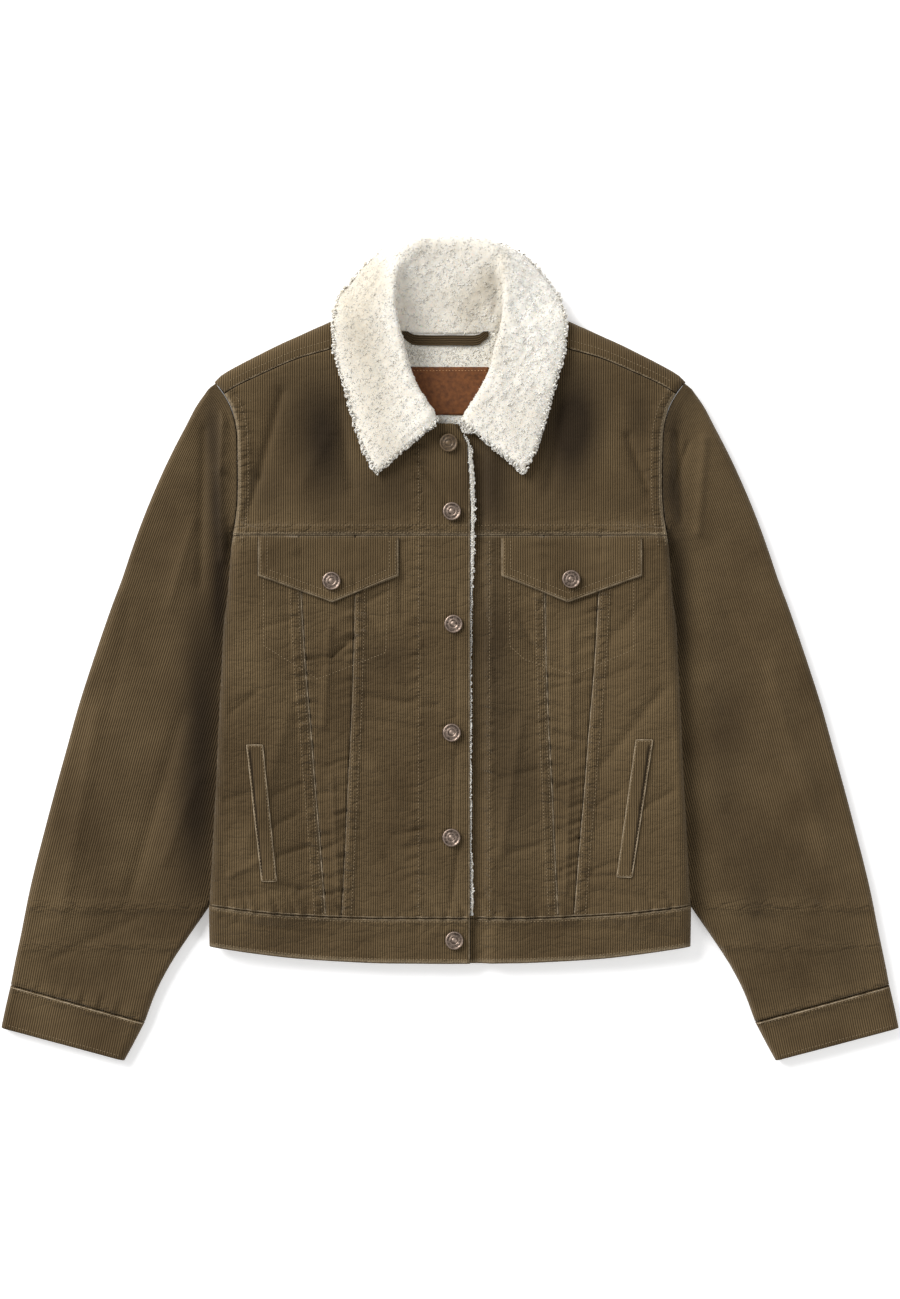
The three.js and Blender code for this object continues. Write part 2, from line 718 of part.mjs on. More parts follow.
// Height of the cloth already built under a place and close around it.
function surfaceBelow(names, reach = 0) {
  const meshes = model.children.filter((mesh) => names.includes(mesh.name));
  const caster = new THREE.Raycaster();
  const heightAt = (x, y) => {
    caster.set(new THREE.Vector3(x, y, 200), new THREE.Vector3(0, 0, -1));
    const hits = caster.intersectObjects(meshes, false);
    return hits.length > 0 ? hits[0].point.z : 0;
  };
  return (x, y) => Math.max(...[[0, 0], [reach, 0], [-reach, 0], [0, reach], [0, -reach]]
    .map(([dx, dy]) => heightAt(x + dx, y + dy)));
}

function layer(pointsOfRows, below, thickness) {
  const lower = pointsOfRows.map((row) => row.map(([x, y]) => new THREE.Vector3(x, y, below(x, y) + LAY_GAP)));
  const upper = lower.map((row) => row.map((point) => point.clone().setZ(point.z + thickness)));
  return wallGeometry(upper, lower);
}

const FLAP_EDGE = named(['x', 'top', 'bottom'], [
  [48.5, 104, 70.2],
  [62, 104, 64],
  [78, 104, 57.4],
  [94, 104, 50.6],
  [110, 104, 44],
  [127, 104, 50],
  [144, 104, 56.2],
  [161, 104, 62.4],
  [178, 104, 68.6],
]);

const WELT_LINES = named(['side', 'topInX', 'topOutX', 'topY', 'lowInX', 'lowOutX', 'lowY'], [
  [-1, 174, 189.6, -88.4, 161.1, 175.4, -216.1],
  [1, 172.8, 189, -83.6, 155, 169.7, -212.2],
]);

function buildTrims() {
  for (const [word, side] of [['right', -1], ['left', 1]]) {
    const below = surfaceBelow([`front_centre_${word}`, `front_insert_${word}`, `front_side_${word}`], LAY_REACH);
    const flapRows = evenly(4).map((v) => FLAP_EDGE.map((row) => [side * row.x, mix(row.bottom, row.top, v)]));
    add(`pocket_flap_${word}`, layer(flapRows, below, FLAP_THICKNESS), 'corduroy');
    const line = WELT_LINES.find((row) => row.side === side);
    const weltRows = evenly(9).map((v) => evenly(2).map((u) => [
      side * mix(mix(line.lowInX, line.topInX, v), mix(line.lowOutX, line.topOutX, v), u),
      mix(line.lowY, line.topY, v),
    ]));
    add(`hand_welt_${word}`, layer(weltRows, below, WELT_THICKNESS), 'corduroy');
  }
}

function slab(outline, bottom, top) {
  const shape = new THREE.Shape(outline.map(([x, y]) => new THREE.Vector2(x, y)));
  const geometry = new THREE.ExtrudeGeometry(shape, { depth: top - bottom, bevelEnabled: false });
  geometry.translate(0, 0, bottom);
  return geometry;
}

function buildNeck() {
  const half = SEAM_GAP / 2;
  const rows = evenly(3).map((v) => evenly(6).map((u) => {
    const x = mix(-62, 62, u);
    return [x, mix(203, backTop(Math.abs(x)) - half, v)];
  }));
  const at = (z) => rows.map((row) => row.map(([x, y]) => new THREE.Vector3(x, y, z)));
  add('neck_lining', wallGeometry(at(LINING_TOP), at(LINING_BOTTOM)), 'sherpa');
  add('neck_label', slab([
    [LABEL_LEFT, LABEL_LOW_Y],
    [LABEL_RIGHT, LABEL_LOW_Y],
    [LABEL_RIGHT, LABEL_HIGH_Y],
    [LABEL_LEFT, LABEL_HIGH_Y],
  ], LABEL_BOTTOM, LABEL_TOP), 'leather');
  add('hanger_loop', slab([
    [-36.4, 283.1],
    [28.7, 283.1],
    [36.2, 291.9],
    [27.5, 291.9],
    [24.5, 290.6],
    [-32, 290.6],
    [-35.5, 291.9],
    [-44.4, 291.9],
  ], LOOP_BOTTOM, LOOP_TOP), 'corduroy');
}

// Edge of the pile lining that shows beside the front edge.
function buildFrontPile() {
  const columns = named(['x', 'crest'], [
    [PILE_INSIDE_X, 0],
    [20.1, 0],
    [20.8, 1],
    [22.4, 1],
    [PILE_OUTSIDE_X, 0],
  ]);
  const rows = evenly(10).map((v) => mix(-248.5, 189, v));
  const upper = rows.map((y) => columns.map((column) => (
    new THREE.Vector3(column.x, y, mix(PILE_TOP, PILE_CREST, column.crest)))));
  const lower = rows.map((y) => columns.map((column) => new THREE.Vector3(column.x, y, PILE_BOTTOM)));
  add('front_edge_pile', wallGeometry(upper, lower), 'sherpa');
}

const BUTTON_PROFILE = named(['radius', 'z'], [
  [0, 0],
  [6.4, 0],
  [BUTTON_RADIUS, 1.7],
  [BUTTON_RADIUS, 2.9],
  [7.3, 3.7],
  [6, 2.9],
  [2.6, 2.7],
  [0, 3.4],
]);

const BUTTONS = named(['name', 'x', 'y', 'on'], [
  ['button_neck', -1.3, 192.8, 'front_yoke_right'],
  ['button_yoke', 1.7, 129, 'front_yoke_right'],
  ['button_chest', 3.2, 24, 'front_centre_right'],
  ['button_middle', 1.6, -77.5, 'front_centre_right'],
  ['button_low', 1.3, -175.4, 'front_centre_right'],
  ['button_waist', 4, -271.4, 'waistband_right'],
  ['button_flap_right', -110.5, 64, 'pocket_flap_right'],
  ['button_flap_left', 112.9, 65.6, 'pocket_flap_left'],
]);

function turned(profile, sides) {
  const positions = [];
  const point = (row, side) => {
    const angle = (side / sides) * 2 * Math.PI;
    return [row.radius * Math.cos(angle), row.radius * Math.sin(angle), row.z];
  };
  for (let i = 0; i + 1 < profile.length; i += 1) {
    for (let s = 0; s < sides; s += 1) {
      const a = point(profile[i], s);
      const b = point(profile[i], (s + 1) % sides);
      const c = point(profile[i + 1], (s + 1) % sides);
      const d = point(profile[i + 1], s);
      if (profile[i].radius > 0) {
        positions.push(...a, ...b, ...c);
      }
      if (profile[i + 1].radius > 0) {
        positions.push(...a, ...c, ...d);
      }
    }
  }
  return facingOut(positions);
}

function buildButtons() {
  for (const button of BUTTONS) {
    const below = surfaceBelow([button.on]);
    const around = evenly(12).map((u) => {
      const angle = u * 2 * Math.PI;
      return below(button.x + 6 * Math.cos(angle), button.y + 6 * Math.sin(angle));
    });
    const geometry = turned(BUTTON_PROFILE, BUTTON_SIDES);
    geometry.translate(button.x, button.y, Math.max(...around) + SEAM_GAP);
    add(button.name, geometry, 'buttonMetal');
  }
}

buildFronts();
buildBack();
buildWaistband();
buildSleeves();
buildCollar();
buildTrims();
buildNeck();
buildFrontPile();
buildButtons();

export default model;
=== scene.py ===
"""Sherpa lined corduroy jacket, buttoned and laid flat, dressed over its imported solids."""
import logging
import math
from dataclasses import dataclass, field
from enum import Enum
from typing import Callable, Optional, Sequence

import bpy
import numpy as np
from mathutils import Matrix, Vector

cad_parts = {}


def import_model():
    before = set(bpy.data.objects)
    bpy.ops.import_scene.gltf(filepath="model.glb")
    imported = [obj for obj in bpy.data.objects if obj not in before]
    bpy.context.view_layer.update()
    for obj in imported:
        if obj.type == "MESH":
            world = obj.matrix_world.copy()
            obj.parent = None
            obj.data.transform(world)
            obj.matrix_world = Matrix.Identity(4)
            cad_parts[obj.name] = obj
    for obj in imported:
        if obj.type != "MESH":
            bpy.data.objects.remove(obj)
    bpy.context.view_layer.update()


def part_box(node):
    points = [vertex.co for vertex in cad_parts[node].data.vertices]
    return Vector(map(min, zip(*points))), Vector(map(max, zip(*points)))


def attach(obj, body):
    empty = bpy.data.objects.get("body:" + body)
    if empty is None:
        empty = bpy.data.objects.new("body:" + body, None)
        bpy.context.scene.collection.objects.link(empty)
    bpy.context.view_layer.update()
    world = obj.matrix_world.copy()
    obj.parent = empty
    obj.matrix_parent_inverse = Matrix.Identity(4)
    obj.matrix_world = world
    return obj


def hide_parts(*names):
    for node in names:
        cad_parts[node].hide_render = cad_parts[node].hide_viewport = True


LOG = logging.getLogger("jacket")
MM = 0.001
Array = np.ndarray
Plan = Callable[[Array, Array], tuple[Array, Array]]
Cloth = Callable[[Array, Array], tuple[Array, Array]]
Relief = Callable[[Array, Array], Array]
Colour = tuple[float, float, float, float]

# Sizes in millimetres. X runs to the wearer's left, Y to the neck and Z up from the table.
BODY_HEIGHT = 18.0
BODY_WALL = 7.5
SLEEVE_HEIGHT = 14.0
SEAM_GAP = 0.4
YOKE_SEAM_Y = 106.5
BACK_SEAM_Y = 112.0
LOW_SEAM_Y = -250
ARM_JOINS_Y, ARM_FREE_Y = 124, 94
SIDE_LEVELS = (-276, 250)
SHOULDER_SEAM_TOP, SHOULDER_SEAM_END = (85, 289.1), (211.3, 238.6)
OVERLAP_X = 18.7
UNDERLAP_X = 12.0
SIDE_LIFT = 11.0
FRONT_STEMS = ("front_yoke", "front_centre", "front_insert", "front_side", "waistband")

# Lines of one half in plan: level and distance from the centre, or the other way round.

SIDE_EDGE = ((-294, 225.4), (-276.5, 225.1), (-239, 224.6), (-216, 223.2), (-161, 220.4), (-118, 218),
             (-66, 215.8), (-14, 213), (23.4, 211.2), (50.4, 207.6), (78.5, 205.5), (97, 204), (116.8, 201),
             (143.8, 198.6), (172.8, 198.5), (198, 199), (223.2, 203.6), (238, 211), (250.3, 220.4))
INSERT_INNER = ((-252, 101.8), (-181, 98), (-127, 95.7), (-77.5, 92.9), (-15, 90.6), (51, 89.2), (106.5, 88))
INSERT_OUTER = ((-252, 115.3), (-181, 120.8), (-127, 125.4), (-77.5, 129.1), (-15, 134.4), (51, 138.2), (106.5, 141))
WAIST_SEAM = ((0, -251), (60, -251.2), (100, -250.2), (140, -248), (180, -244.2), (226, -238.2))
HEM_LINE = ((0, -293.7), (60, -293.2), (100, -291.6), (140, -289), (180, -284.3), (226, -277.2))
BACK_TOP = ((0, 291.3), (25, 292.2), (50, 295.2), (65, 298.2), (80, 302.2), (90, 307.2), (97, 311.2), (121.4, 302.6),
            (140, 294.2), (158.8, 285.8), (177.5, 276.5), (196, 267), (214.8, 256), (220.4, 250.3))
SHOULDER_SEAM = ((85, 289.1), (112, 280.2), (141, 271.8), (171.9, 258.7), (199.9, 245.6), (211.3, 238.6))
# Inner edges of the front yokes, from the seam up to the neck.
YOKE_OVER = ((-19, 106.5), (-19.8, 128), (-18.6, 150), (-17.3, 172), (-16.2, 192), (-9.6, 203.5), (-3, 211),
             (11, 211), (31, 220.5), (52, 235.5), (67, 258), (80.4, 280.3), (85, 289.1))
YOKE_UNDER = ((-12, 106.5), (-12, 128), (-12, 150), (-12, 172), (-12, 192), (-10, 203.5), (-6, 211),
              (11, 211), (31, 220.5), (52, 235.5), (67, 258), (80.4, 280.3), (85, 289.1))
# Sections of a sleeve and a cuff: inner x and y, outer x and y, and how far the inner edge is folded.
SLEEVE_ROWS = ((218.8, 248.2, 227, 242.5, 0), (211.4, 238, 237.5, 228, 0), (204, 223, 247.5, 209, 0),
               (199.4, 199, 258.5, 188, 0), (198.9, 172.8, 269.5, 165, 0), (199, 143.8, 281, 138.5, 0),
               (201.4, 116.8, 291, 113, 0.1), (204, 97, 299.5, 89, 0.5), (198, 72, 307, 66.5, 1),
               (186, 35, 316.6, 41, 1), (178, 0, 325, 17, 1), (175, -45, 335.6, -14.5, 1),
               (178, -90, 347.6, -52, 1), (186, -135, 359.3, -94, 1), (198, -182, 371, -136.4, 1),
               (213, -221, 380.8, -173.6, 1), (227.5, -243.5, 387.6, -200, 1), (244, -267.5, 394.4, -229, 1),
               (262, -295, 401.6, -265.5, 1), (275.5, -321, 407.3, -292.6, 1), (285.6, -348, 411.3, -313.4, 1))
CUFF_ROWS = ((285.9, -348.9, 411.5, -314.3, 1), (295.4, -367.2, 416.2, -334.5, 1), (305, -384.8, 420.3, -354, 1))
# Sections of one half of the collar: x, y and z of the neck edge, of the roll and of the free edge.
COLLAR_ROWS = ((20, 223, 15, 14, 212, 28.5, 65.5, 165.5, 23.2), (31, 230, 14.5, 22.5, 226, 30, 78, 190, 23),
               (46, 241, 14, 33, 243, 31.5, 88.5, 224, 22.8), (61, 261.5, 14, 40.5, 261, 32.5, 97, 255, 22.8),
               (75, 283, 13.5, 46, 281, 33.5, 103.5, 279, 22.8), (84, 300, 12, 50.5, 302, 36, 105, 302, 22.6),
               (89, 313, 9, 53, 324, 37.5, 100.5, 325, 12), (73, 305.5, 6, 52, 345, 36.5, 87, 346.5, 6),
               (50, 298.5, 5, 45.5, 365, 33, 67, 367.5, 3.5), (25, 296.6, 5, 27, 377.8, 29, 41, 377.5, 3),
               (0, 296, 5, 0, 380.3, 27, 0, 378, 3))
# Creases of the fronts and the sleeves: from x, from y, to x, to y, rise and half width.
FRONT_CREASES = (
    (-157, 240, -179, 161, -1.8, 10), (-179, 161, -190, 126, -1.5, 8), (166, 199, 186, 146, -2.0, 8),
    (-104, 228, -92, 150, -1.6, 13), (104, 228, 92, 150, -1.6, 13), (-31, 176, -3, 142, -1.2, 5),
    (-34, 168, -24, 150, -0.8, 4), (-80, -44, -14, -53, -1.5, 6), (-84, -64, -36, -72, -0.8, 6),
    (-70, -112, -32, -160, 1.2, 10), (-60, -196, -26, -222, -0.9, 7), (66, -70, 48, -190, 1.2, 10),
    (-150, -60, -190, -190, 1.0, 14), (140, -110, 196, -40, -1.3, 11), (150, 10, 196, 60, -0.9, 10),
    (-112, 20, -118, -70, 1.4, 9), (112, 16, 112, -90, 1.4, 9), (-110, -120, -104, -226, 0.9, 6),
    (112, -120, 108, -226, 0.9, 6), (-140, 150, -110, 206, 0.7, 14), (60, 190, 110, 140, -0.7, 12),
    (-60, 4, -84, 46, -0.9, 7), (66, 30, 86, -16, -1.0, 7), (-150, -222, -206, -232, -0.8, 7),
    (136, -226, 200, -232, -0.8, 7), (44, -206, 84, -232, -0.9, 7), (-50, 94, -30, 20, -0.5, 8),
    (30, 60, 44, -30, -0.7, 7), (-125.6, -134.6, -97.7, -132.2, -1.3, 4),
    (-122.3, -174, -99.3, -172.3, -1.2, 4), (-161.6, -192.3, -130.5, -183, -1.3, 4),
    (-122, -187, -106, -182, -1.0, 4), (-158, -218, -140, -224, -1.2, 4), (-140, -224, -124, -223, -1.1, 4),
    (-115.7, -228, -101, -224.8, -1.2, 4), (-166.5, -136.3, -137, -124.8, -0.9, 5),
    (-165, -164, -143.6, -154.3, -1.0, 5), (-204, -210, -179.6, -198.5, 1.1, 6),
    (-214, -141, -189.5, -134.6, -0.7, 5), (-114, -108.4, -94.4, -101.9, -1.0, 4),
    (-51.8, -172.3, -24, -167.4, -0.8, 4), (-40.4, -185.4, -2.7, -177.2, -0.9, 4),
    (6.4, 57, 6.4, 31, -0.8, 3.5), (6, 10, 5, -64, -0.9, 3.5), (5.5, -92, 2.2, -164, -0.9, 3.5),
    (7.2, -187, 0.6, -241, -1.1, 4), (-132.9, -8.5, -110.8, -6.8, -1.3, 4),
    (-110.8, -6.8, -90.4, 10.1, -1.4, 4), (-124.4, -15.3, -100.6, -11.9, -1.1, 4),
    (-173.6, 22, -148.2, 27.1, -0.8, 4), (-78.6, 44.1, -58.2, 54.3, -0.9, 4),
    (-46.3, 64.5, -44.6, 30.5, -0.9, 6), (-27.6, 23.7, -7.3, 23.7, -0.7, 4), (-205, -60, -180, -40, -0.8, 6),
    (95, -36, 122, -30, -1.0, 4), (98, -78, 124, -84, -1.1, 4), (101, -128, 124, -122, -1.1, 4),
    (102, -168, 120, -176, -1.1, 4), (104, -206, 117, -200, -1.1, 4), (66, 10, 88, -2, -0.9, 4),
    (60, -60, 92, -72, -1.0, 5), (48, -120, 80, -112, -0.9, 5), (56, -190, 96, -178, -1.0, 5),
    (130, -150, 158, -132, -0.9, 5), (134, -206, 160, -196, -1.0, 5), (136, -30, 170, -16, -0.8, 5),
    (176, -150, 214, -128, -0.9, 6), (172, -60, 206, -84, -0.8, 6), (66, 52, 92, 40, -0.9, 4),
    (93.4, -24.6, 110.9, -27.1, -1.1, 3.5), (133.4, -152.3, 151, -159.8, -1.0, 4),
    (127.2, -212.4, 153.5, -211.1, -1.2, 4), (35.8, -235, 43.3, -247, -1.1, 4), (95, -14, 108, -20, -1.1, 3.5),
    (40, -60, 58, -66, -1.0, 4), (62, 20, 80, 8, 0.9, 6), (-202, -254, -109, -268, -0.7, 4),
    (91, -261.5, 162, -260, -0.7, 4), (-92, -276, -30, -262, -0.5, 4), (186, -262, 214, -270, -0.6, 4),
)
SLEEVE_CREASES = (
    (-212, 218, -214, 168, 1.8, 7), (-214, 168, -213, 84, 1.6, 7), (-230, 205, -234, 60, -1.8, 10),
    (-240, 120, -262, 40, 0.9, 10), (-250, -60, -300, -230, -1.6, 13), (-330, -60, -362, -250, 1.3, 15),
    (-300, 40, -318, -60, -0.8, 12), (-290, -250, -372, -290, -0.9, 9), (212, 200, 216, 120, -1.9, 8),
    (238, 196, 232, 110, 1.5, 10), (223, 192, 199, 133, -1.2, 6), (246, -40, 318, -120, -1.7, 12),
    (262, -150, 352, -236, -1.7, 12), (300, -20, 352, -200, 1.3, 13), (260, 30, 300, -30, -1.0, 12),
    (288, -250, 378, -282, -0.9, 9), (330, -100, 372, -240, 0.8, 10), (-236, -120, -268, -200, 1.0, 9),
)

# Patches of painted shade and painted light on the corduroy: centre x, centre y, half width, half height and change
# of tone.
SHADE_AND_LIGHT_PATCHES = (
    (-222, 204, 9, 34, -0.7), (-219, 142, 8, 40, -0.7),
    (128, 212, 22, 46, -0.5), (176, 216, 12, 26, -0.45), (160, 136, 24, 16, -0.4), (207, 212, 12, 24, -0.6),
    (207, 152, 12, 28, -0.7), (140, 281, 50, 8, 0.5), (-140, 281, 50, 8, 0.35),
    (-116, 195, 22, 62, -0.95), (-150, 215, 30, 40, -0.4), (-172, 146, 18, 30, -0.35), (108, 203, 26, 62, -0.95),
    (-60, 150, 30, 24, -0.5), (38, 160, 22, 50, -0.75),
    (-215, 60, 9, 70, -0.9), (-232, -60, 20, 110, -0.9), (-240, -170, 20, 60, -0.6), (214, 40, 10, 80, -0.75),
    (256, -90, 22, 110, -0.27), (287, -238, 14, 36, -0.36), (306, -138, 11, 28, 0.25), (372, -286, 24, 24, -0.3),
    (40, 0, 16, 110, -0.55), (-60, -8, 24, 16, -0.35), (236, 190, 20, 46, 0.75),
    (205, -90, 14, 120, 0.5), (-205, -90, 12, 120, 0.2), (300, 60, 30, 60, 0.3), (150, 150, 34, 50, 0.3),
    (-176, 215, 22, 36, 0.25), (110, 60, 60, 36, 0.1), (68, -110, 26, 110, -0.32), (-310, -80, 90, 260, -0.14),
    (310, -80, 90, 260, -0.06), (-70, -190, 34, 40, 0.2), (168, -30, 26, 110, 0.25), (246, 196, 16, 34, 0.2),
)

# Patches of shaded pile: centre x, centre y, half width, half height and change of tone.
PILE_PATCHES = (
    (-92, 332, 28, 40, 0.55), (-84, 285, 26, 40, 0.52), (-68, 232, 24, 46, 0.48), (-56, 186, 18, 22, 0.3),
    (-5, 326, 26, 26, 0.3), (19, 318, 14, 24, 0.55), (34, 342, 10, 20, 0.8), (49, 350, 6, 26, 0.5),
    (47, 309, 6, 26, 0.4), (80, 328, 24, 46, -0.25), (66, 214, 24, 34, 0.22), (86, 270, 20, 34, -0.1),
    (0, 275, 44, 18, 0.3), (-46, 328, 10, 44, -0.25), (-80, 350, 28, 24, 0.65), (-10, 374, 64, 12, 0.3),
    (27, 243, 7, 26, 0.3), (41, 276, 6, 22, 0.3), (16, 222, 8, 16, 0.25),
)


def ramp(low: float, high: float, at: Array) -> Array:
    """Rise smoothly from 0 at low to 1 at high."""
    share = np.clip((np.asarray(at, float) - low) / (high - low), 0, 1)
    return share * share * (3 - 2 * share)


def bell(away: Array, spread: float) -> Array:
    """Fall smoothly from 1 in the middle to 0, over a spread to each side."""
    return np.exp(-(away / spread) ** 2)


def mix(start: Array, end: Array, share: Array) -> Array:
    """Blend from start to end."""
    return start + (end - start) * share


def unit(vectors: Array) -> Array:
    """Return vectors of the same directions and of length 1."""
    return vectors / np.maximum(np.linalg.norm(vectors, axis=-1, keepdims=True), 1e-9)


def distances(line: Array) -> Array:
    """Return how far each point of a line lies along it."""
    return np.concatenate([[0], np.cumsum(np.linalg.norm(np.diff(line, axis=0), axis=1))])


def full_fold(v: Array) -> Array:
    """Return a full fold for every row."""
    return np.ones_like(v)


class Curve:
    """Smooth line through a short table, without overshoot."""

    def __init__(self, table: Sequence[Sequence[float]], column: int = 1) -> None:
        """Take the keys from the first column and the values from another.

        Args:
            table: Rows of numbers with rising keys.
            column: Index of the value in each row.
        """
        self.keys = np.array([row[0] for row in table], float)
        self.values = np.array([row[column] for row in table], float)
        rate = np.diff(self.values) / np.diff(self.keys)
        slope = np.zeros_like(self.keys)
        slope[0], slope[-1] = rate[0], rate[-1]
        for i in range(1, len(rate)):
            both = rate[i - 1] * rate[i]
            slope[i] = 0 if both <= 0 else 2 * both / (rate[i - 1] + rate[i])
        self.slope = slope

    def __call__(self, at: Array) -> Array:
        """Return the value at one or more keys."""
        held = np.clip(np.asarray(at, float), self.keys[0], self.keys[-1])
        i = np.clip(np.searchsorted(self.keys, held, side="right") - 1, 0, len(self.keys) - 2)
        span = self.keys[i + 1] - self.keys[i]
        t = (held - self.keys[i]) / span
        r = 1 - t
        return (self.values[i] * (1 + 2 * t) * r * r + self.values[i + 1] * t * t * (3 - 2 * t)
                + self.slope[i] * span * t * r * r - self.slope[i + 1] * span * t * t * r)


def column_curve(table: Sequence[Sequence[float]], column: int) -> Curve:
    """Return the line of one column over the row number."""
    return Curve([(index, row[column]) for index, row in enumerate(table)])


side_edge = Curve(SIDE_EDGE)
insert_inner = Curve(INSERT_INNER)
insert_outer = Curve(INSERT_OUTER)
waist_seam = Curve(WAIST_SEAM)
hem_line = Curve(HEM_LINE)
back_top = Curve(BACK_TOP)
shoulder_seam = Curve(SHOULDER_SEAM)


def side_at(y: Array) -> Array:
    """Return the side line of the body, carried on straight above and below it."""
    return side_edge(np.clip(y, *SIDE_LEVELS))


def above_cuff(out: Array, y: Array) -> Array:
    """Return how far a place lies above the cuff's seam."""
    return (y + 348) - (out - 285.7) * 0.275


def lift(x: Array, y: Array) -> Array:
    """Return how far the body side is raised by the sleeve under it."""
    across = ramp(118, 178, np.abs(x))
    along = ramp(ARM_JOINS_Y, ARM_FREE_Y, y) * (1 - 0.8 * ramp(-240, -292, y))
    return SIDE_LIFT * across * along


def creases(table: Sequence[Sequence[float]], x: Array, y: Array) -> Array:
    """Return the height of a table of creases at the given places."""
    height = np.zeros_like(np.asarray(x, float))
    for ax, ay, bx, by, rise, spread in table:
        run_x, run_y = bx - ax, by - ay
        share = np.clip(((x - ax) * run_x + (y - ay) * run_y) / (run_x ** 2 + run_y ** 2), 0, 1)
        away = np.hypot(x - ax - share * run_x, y - ay - share * run_y)
        sharp = 0.7 * bell(away, 0.42 * spread) + 0.5 * bell(away, 1.1 * spread)
        height += rise * sharp
    return height


def pucker(along: Array, away: Array, pitch: float, reach: float, slant: float, phase: float) -> Array:
    """Return the small waves that a seam draws into the cloth beside it.

    Args:
        along: Distance along the seam.
        away: Distance from the seam.
        pitch: Spacing of the waves.
        reach: How far they run from the seam.
        slant: How much they lean.
        phase: Where they start.

    Returns:
        Waves between -1 and 1.
    """
    turn = 2 * math.pi * (along + slant * np.abs(away)) / pitch
    first = turn + 1.4 * np.sin(along / 23 + phase) + phase
    wave = 2 * np.abs(np.sin(first / 2)) ** 0.7 - 1 + 0.45 * np.sin(1.83 * turn + 2 * phase)
    return wave * bell(away, reach) * (0.6 + 0.4 * np.sin(along / 31 + 1.7 * phase))


class Surface:
    """Height of the lying cloth, its creases and its worn seams."""

    @staticmethod
    def front_relief(x: Array, y: Array) -> Array:
        """Return creases, seam puckers and topstitched ridges of the fronts."""
        out = np.abs(x)
        side = np.where(x < 0, 0.0, 2.1)
        z = 2.1 * creases(FRONT_CREASES, x, y)
        below = ramp(YOKE_SEAM_Y + 2, YOKE_SEAM_Y - 6, y) * ramp(-256, -246, y)
        inner, outer = out - insert_inner(y), out - insert_outer(y)
        for away, phase in ((inner, 0.4), (outer, 1.9)):
            z += 1.7 * below * pucker(y, away, 15, 13, 0.35, phase + side)
            z -= 0.8 * below * bell(away, 1.5)
        z += 0.55 * below * ramp(0.5, 2, outer) * ramp(13, 11, outer)
        z += 0.55 * below * ramp(-0.5, -2, inner) * ramp(-11, -9, inner)
        placket = x + 30.0
        z += 1.2 * pucker(y, placket, 15, 11, 0.4, 0.9) * ramp(-252, -240, y) * ramp(212, 190, y)
        z -= 0.8 * bell(placket, 1.6) * ramp(212, 200, y)
        z += 1.3 * pucker(y, x - 37, 16, 9, 0.3, 2.6) * ramp(104, 90, y)
        z -= 0.6 * bell(x - 36, 1.6) * ramp(104, 100, y)
        yoke = y - YOKE_SEAM_Y
        z -= 0.3 * bell(yoke, 1.6)
        z += 0.5 * ramp(0.5, 2, yoke) * ramp(12, 10, yoke)
        z += 0.6 * pucker(x, yoke - 8, 17, 11, 0.3, 1.2)
        waist = y - waist_seam(out)
        z += 1.9 * pucker(x, waist - 3, 16, 13, 0.5, 0.3) * ramp(-3, 1, waist)
        z += 0.8 * pucker(x, waist + 6, 14, 9, 0.4, 1.1) * ramp(1, -3, waist)
        z -= 0.4 * bell(waist, 1.6)
        arm = side_at(y) - out
        above = ramp(88, 104, y)
        z -= 0.4 * above * bell(arm, 1.8)
        z += 0.5 * above * ramp(0.5, 2, arm) * ramp(13, 11, arm)
        z += 0.8 * above * pucker(y, arm - 13, 17, 9, 0.4, 0.5 + side)
        z += 1.1 * np.sin(x / 29 + 0.6) * np.sin(y / 37 + 1.1)
        return z + 0.6 * np.sin(x / 13 + y / 19) * np.sin(y / 14 + 2)

    @staticmethod
    def sleeve_relief(x: Array, y: Array) -> Array:
        """Return creases of the sleeves and puckers at the armhole and the cuff."""
        out = np.abs(x)
        side = np.where(x < 0, 0.7, 2.4)
        z = 2.0 * creases(SLEEVE_CREASES, x, y)
        arm = out - side_at(y)
        z += 0.9 * pucker(y, arm, 16, 14, 0.5, 0.8 + side) * ramp(80, 100, y)
        cuff = above_cuff(out, y)
        z += 1.1 * pucker(out, cuff - 3, 15, 13, 0.4, 1.5 + side) * ramp(-4, 0, cuff)
        inner = out - np.interp(-y, [243, 268, 295, 321, 348], [227.5, 244, 262, 275.5, 285.6])
        z += 0.9 * pucker(y, inner, 17, 15, 0.4, 0.2 + side) * ramp(-236, -256, y)
        return z + 0.8 * np.sin(x / 27 + y / 61) + 0.5 * np.sin(x / 14 - y / 29) * np.sin(y / 23 + 1)

    @staticmethod
    def none(x: Array, y: Array) -> Array:
        """Return plain cloth."""
        return np.zeros_like(np.asarray(x, float))

    @staticmethod
    def wear(x: Array, y: Array) -> Array:
        """Return how far the pile is rubbed pale at the seams and edges of the fronts."""
        out = np.abs(x)
        below = ramp(YOKE_SEAM_Y + 1, YOKE_SEAM_Y - 3, y) * ramp(-253, -249, y)
        inner, outer = out - insert_inner(y), out - insert_outer(y)
        patch = 0.6 + 0.4 * np.sin(y / 13 + 2 * np.sin(y / 37))
        line = np.where(x < 0, bell(outer - 0.9, 1.5), bell(inner + 0.9, 1.5))
        faint = np.where(x < 0, bell(inner + 1.3, 0.9), bell(outer - 1.3, 0.9))
        worn = 0.12 * below * (line + faint * patch)
        waist = y - waist_seam(out)
        arm = side_at(y) - out
        worn += 0.4 * patch * bell(waist + 1.8, 1.4)
        worn += 0.5 * patch * bell(y - YOKE_SEAM_Y - 1.0, 1.4)
        worn += 0.5 * ramp(96, 104, y) * bell(arm - 1.6, 1.4)
        worn += 0.4 * bell(y - hem_line(out) - 1.5, 1.6)
        return np.clip(worn, 0, 1)

